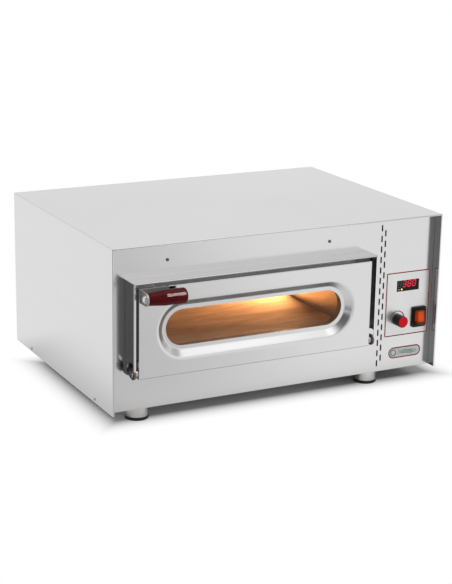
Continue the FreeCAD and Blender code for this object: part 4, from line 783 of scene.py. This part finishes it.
# in mirrors: painted shadow on the floor by the oven, the dark front left corner, the front's
# left and right
FLOOR_NEAR = (-0.05, 0.14)
FLOOR_NEAR_LEVEL = 0.6
FLOOR_FRONT = (0.15, 0.40)
CORNER = (0.05, 0.33)
CORNER_SLANT = 0.45
CORNER_LEVEL = 0.12
ACROSS = (-0.12, 0.35)
ACROSS_SLANT = 0.35
ACROSS_SHIFT = 0.21
FLOOR_LEFT_LEVEL = 0.76
FLOOR_RIGHT_LEVEL = 1.06
FLOOR_SECOND_BOUNCE = 0.32


def floor_mirrored(g, x, y, beyond):
    """The floor's level in mirrors: painted shadow by the oven, and darker in the studio's
    left corner.
    """
    nearby = g.step(beyond, *FLOOR_NEAR, FLOOR_NEAR_LEVEL)
    front = g.step(g.product(y, -1.0), *FLOOR_FRONT)
    across = g.step(g.math("ADD", g.math("ADD", x, g.product(y, ACROSS_SLANT)), ACROSS_SHIFT),
                    *ACROSS, FLOOR_LEFT_LEVEL - FLOOR_RIGHT_LEVEL, 0.0)
    sideways = g.math("ADD", 1.0, g.product(front, g.math("ADD", across,
                                                          FLOOR_RIGHT_LEVEL - 1.0)))
    corner = g.step(g.math("SUBTRACT", g.product(y, CORNER_SLANT), x), *CORNER)
    gloomy = g.product(corner, front, 1.0 - CORNER_LEVEL)
    return g.product(nearby, sideways, g.inverse(gloomy))


def floor_material():
    """White sweep: only the part under the oven takes its shadow, with painted shadow under
    the right end; the rest is plain white.
    """
    material = bpy.data.materials.new("floor_white")
    material.use_nodes = True
    g = Nodes(material.node_tree)
    g.tree.nodes.clear()
    place = g.axes(g.node("ShaderNodeTexCoord").outputs["Object"])
    x = g.product(place["X"], FLOOR_SIZE)
    y = g.product(place["Y"], FLOOR_SIZE)
    # painted shadow: the paper's colour darkens towards the right
    paper = g.node("ShaderNodeBsdfDiffuse")
    g.link(g.span(x, FLOOR_ALBEDO, FLOOR_ALBEDO * PAINTED_SHADOW_LEVEL, *PAINTED_SHADOW_SPAN),
           paper.inputs["Color"])
    # distance outside the shadow's rectangle, negative inside it
    low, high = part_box("casing_cover")
    outside = []
    for metres, start, end in ((x, low.x - FLOOR_SHADOW_LEFT, high.x + FLOOR_SHADOW_RIGHT),
                               (y, low.y, high.y)):
        offset = g.math("ABSOLUTE", g.math("SUBTRACT", metres, (start + end) / 2))
        outside.append(g.math("SUBTRACT", offset, (end - start) / 2))
    beyond = g.math("MAXIMUM", *outside)
    # the shadow clears fast at first and then has a long faint tail
    shaded = g.inverse(g.span(beyond, 0.0, 1.0, *FLOOR_SHADOW_FADE))
    path = g.node("ShaderNodeLightPath").outputs
    share = g.product(g.inverse(g.product(shaded, shaded)), g.seen(path))
    # a mirror shows the darker floor, and a mirror in a mirror a darker one still, as painted
    # shade in corners where steel faces steel
    glossy = path["Is Glossy Ray"]
    second = g.math("GREATER_THAN", path["Glossy Depth"], 1.5)
    bounced = g.inverse(g.product(second, 1.0 - FLOOR_SECOND_BOUNCE))
    reflected = g.product(bounced, floor_mirrored(g, x, y, beyond))
    white = g.node("ShaderNodeEmission")
    g.link(g.math("ADD", g.product(glossy, reflected), g.inverse(glossy)),
           white.inputs["Strength"])
    mixed = g.node("ShaderNodeMixShader")
    g.link(share, mixed.inputs["Fac"])
    g.link(paper.outputs["BSDF"], mixed.inputs[1])
    g.link(white.outputs["Emission"], mixed.inputs[2])
    g.link(mixed.outputs["Shader"], g.node("ShaderNodeOutputMaterial").inputs["Surface"])
    return material


bpy.ops.mesh.primitive_plane_add(size=1.0)
made = bpy.context.object
made.name = "floor"
made.scale = (FLOOR_SIZE, FLOOR_SIZE, 1.0)
made.data.materials.append(floor_material())

# ------------------------------------------------------------ world

# the light on the object, and the studio behind the oven in mirrors
WORLD_FILL = 0.62
WORLD_BEHIND = 0.90
BEHIND = (0.2, 0.6)
AHEAD = (-0.1, 0.2)
LEFTWARD = (-0.15, 0.15)
# the greyer front, from where it starts on either side up to the ceiling
GREY_LEVEL = 0.45
GREY_FROM_RIGHT = (0.40, 0.48)
GREY_FROM_LEFT = (0.0, 0.14)
CEILING = (0.70, 0.79)
# the dark screen at the front left: its edge leans, and leans more from a height upward
SCREEN_LEVEL = 0.93
SCREEN_BOTTOM = (0.02, 0.20)
SCREEN_TOP = (0.84, 0.90)
SCREEN_EDGE = (-0.03, 0.06)
SCREEN_LEAN = 0.65
SCREEN_TURN = 0.45
SCREEN_TURN_LEAN = 1.25


def world_gloom(g, toward):
    """How dark mirrors show the studio: greyer in front, one dark screen at the front left."""
    rise = toward["Z"]
    ahead = g.step(g.product(toward["Y"], -1.0), *AHEAD)
    leftward = g.step(g.product(toward["X"], -1.0), *LEFTWARD)
    low_right = g.product(g.step(rise, *GREY_FROM_RIGHT), g.inverse(leftward))
    low_left = g.product(g.step(rise, *GREY_FROM_LEFT), leftward)
    between = g.product(g.math("ADD", low_right, low_left), g.inverse(g.step(rise, *CEILING)))
    higher = g.math("MAXIMUM", g.math("SUBTRACT", rise, SCREEN_TURN), 0.0)
    lean = g.math("SUBTRACT", SCREEN_LEAN, g.product(higher, SCREEN_TURN_LEAN))
    sideways = g.math("SUBTRACT", g.product(toward["Y"], lean), toward["X"])
    screen = g.product(g.step(sideways, *SCREEN_EDGE), g.step(rise, *SCREEN_BOTTOM),
                       g.inverse(g.step(rise, *SCREEN_TOP)), ahead, SCREEN_LEVEL)
    return g.math("MAXIMUM", g.product(between, ahead, GREY_LEVEL), screen)


def studio_world():
    """Plain fill light on the object, white for the camera, the studio in mirrors."""
    world = bpy.data.worlds.new("studio")
    bpy.context.scene.world = world
    world.use_nodes = True
    g = Nodes(world.node_tree)
    background = g.tree.nodes["Background"]
    background.inputs["Color"].default_value = (1, 1, 1, 1)
    path = g.node("ShaderNodeLightPath").outputs
    glossy = path["Is Glossy Ray"]
    toward = g.axes(g.node("ShaderNodeTexCoord").outputs["Generated"])
    mirrored = g.inverse(g.product(glossy, world_gloom(g, toward)))
    behind = g.inverse(g.product(g.step(toward["Y"], *BEHIND), 1.0 - WORLD_BEHIND))
    behind = g.math("MAXIMUM", behind, g.inverse(glossy))
    mirrored = g.product(mirrored, behind)
    added = g.product(g.seen(path), g.math("SUBTRACT", mirrored, WORLD_FILL))
    g.link(g.math("ADD", added, WORLD_FILL), background.inputs["Strength"])


studio_world()

# ------------------------------------------------------------ lamps


def area_light(name, place, turn, size, power, colour=(1, 1, 1)):
    data = bpy.data.lights.new(name, "AREA")
    data.shape = "RECTANGLE"
    data.size, data.size_y = size
    data.energy = power
    data.color = colour
    lamp = bpy.data.objects.new(name, data)
    lamp.location = place
    lamp.rotation_euler = turn
    bpy.context.scene.collection.objects.link(lamp)
    return lamp


def facing(direction):
    return direction.to_track_quat("-Z", "Y").to_euler()


def receivers(name, node_name):
    """Collection of one node, for a lamp's light linking."""
    made = bpy.data.collections.new(name)
    made.objects.link(nodes[node_name])
    return made


TOP_PLACE = Vector((0.7, -0.5, 1.9))
FRONT_PLACE = Vector((0.86, -1.56, 1.77))
STRIP_PLACE = Vector((0.85, -1.85, 1.68))
CASING = Vector((0, 0, 0.15))
HANDLE = Vector((-0.24, -0.25, 0.24))

top = area_light("softbox_top", TOP_PLACE, facing(CASING - TOP_PLACE),
                 (1.7, 1.5), 10.0)
# the door's dish would mirror the top softbox as a flat white band, so it's kept off the skin
all_but_door = receivers("all_but_door", "door_skin")
all_but_door.collection_objects[0].light_linking.link_state = "EXCLUDE"
top.light_linking.receiver_collection = all_but_door

area_light("softbox_front", FRONT_PLACE, facing(HANDLE - FRONT_PLACE), (1.2, 1.2), 3.2)

# a tall narrow strip gives the grip its highlight and nothing else; its long side lies along
# the curve that the round grip mirrors towards the camera
from_grip = Vector((0.444, -0.666, 0.600)).normalized()
long_side = Vector((0, 0.669, 0.743)).normalized()
strip_turn = Matrix((long_side.cross(from_grip), long_side, from_grip)).transposed().to_euler()
strip = area_light("softbox_grip", STRIP_PLACE, strip_turn, (0.28, 1.6), 95.0,
                   (1.0, 0.82, 0.88))
strip.visible_diffuse = False
strip.light_linking.receiver_collection = receivers("grip_only", "handle_grip")

# the oven's own lamp shines through its lens into the chamber
lens_low, lens_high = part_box("lamp_lens")
lens_middle = (lens_low + lens_high) / 2
glow = area_light("oven_lamp", (lens_low.x - 1 * MM, lens_middle.y, lens_middle.z),
                  facing(Vector((-0.95, 0.05, -0.25))), (38 * MM, 38 * MM), 0.64,
                  (1.0, 0.46, 0.17))
glow.data.shape = "DISK"
glow.data.spread = math.radians(165)

# ------------------------------------------------------------ camera

CAMERA_AZIMUTH = math.radians(-27.471)
CAMERA_ELEVATION = math.radians(15.943)
CAMERA_ROLL = math.radians(0.986)
CAMERA_LENS = 95.22
# from the middle of the casing's depth, with X and Z in the frame
CAMERA_PLACE = (-1.2620, -2.4401, 0.9355)


def add_camera():
    """Camera at the photograph's viewing angle."""
    level = math.cos(CAMERA_ELEVATION)
    back = Vector((math.sin(CAMERA_AZIMUTH) * level, -math.cos(CAMERA_AZIMUTH) * level,
                   math.sin(CAMERA_ELEVATION)))
    right = (-back).cross(Vector((0, 0, 1))).normalized()
    up = right.cross(-back)
    right, up = (math.cos(CAMERA_ROLL) * right + math.sin(CAMERA_ROLL) * up,
                 -math.sin(CAMERA_ROLL) * right + math.cos(CAMERA_ROLL) * up)
    data = bpy.data.cameras.new("camera")
    data.sensor_width = 36.0
    data.lens = CAMERA_LENS
    camera = bpy.data.objects.new("camera", data)
    low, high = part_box("casing_cover")
    x, y, z = CAMERA_PLACE
    turned = Matrix((right, up, back)).transposed().to_4x4()
    camera.matrix_world = Matrix.Translation((x, (low.y + high.y) / 2 + y, z)) @ turned
    bpy.context.scene.collection.objects.link(camera)
    bpy.context.scene.camera = camera


add_camera()
bpy.context.scene.view_settings.view_transform = "Standard"
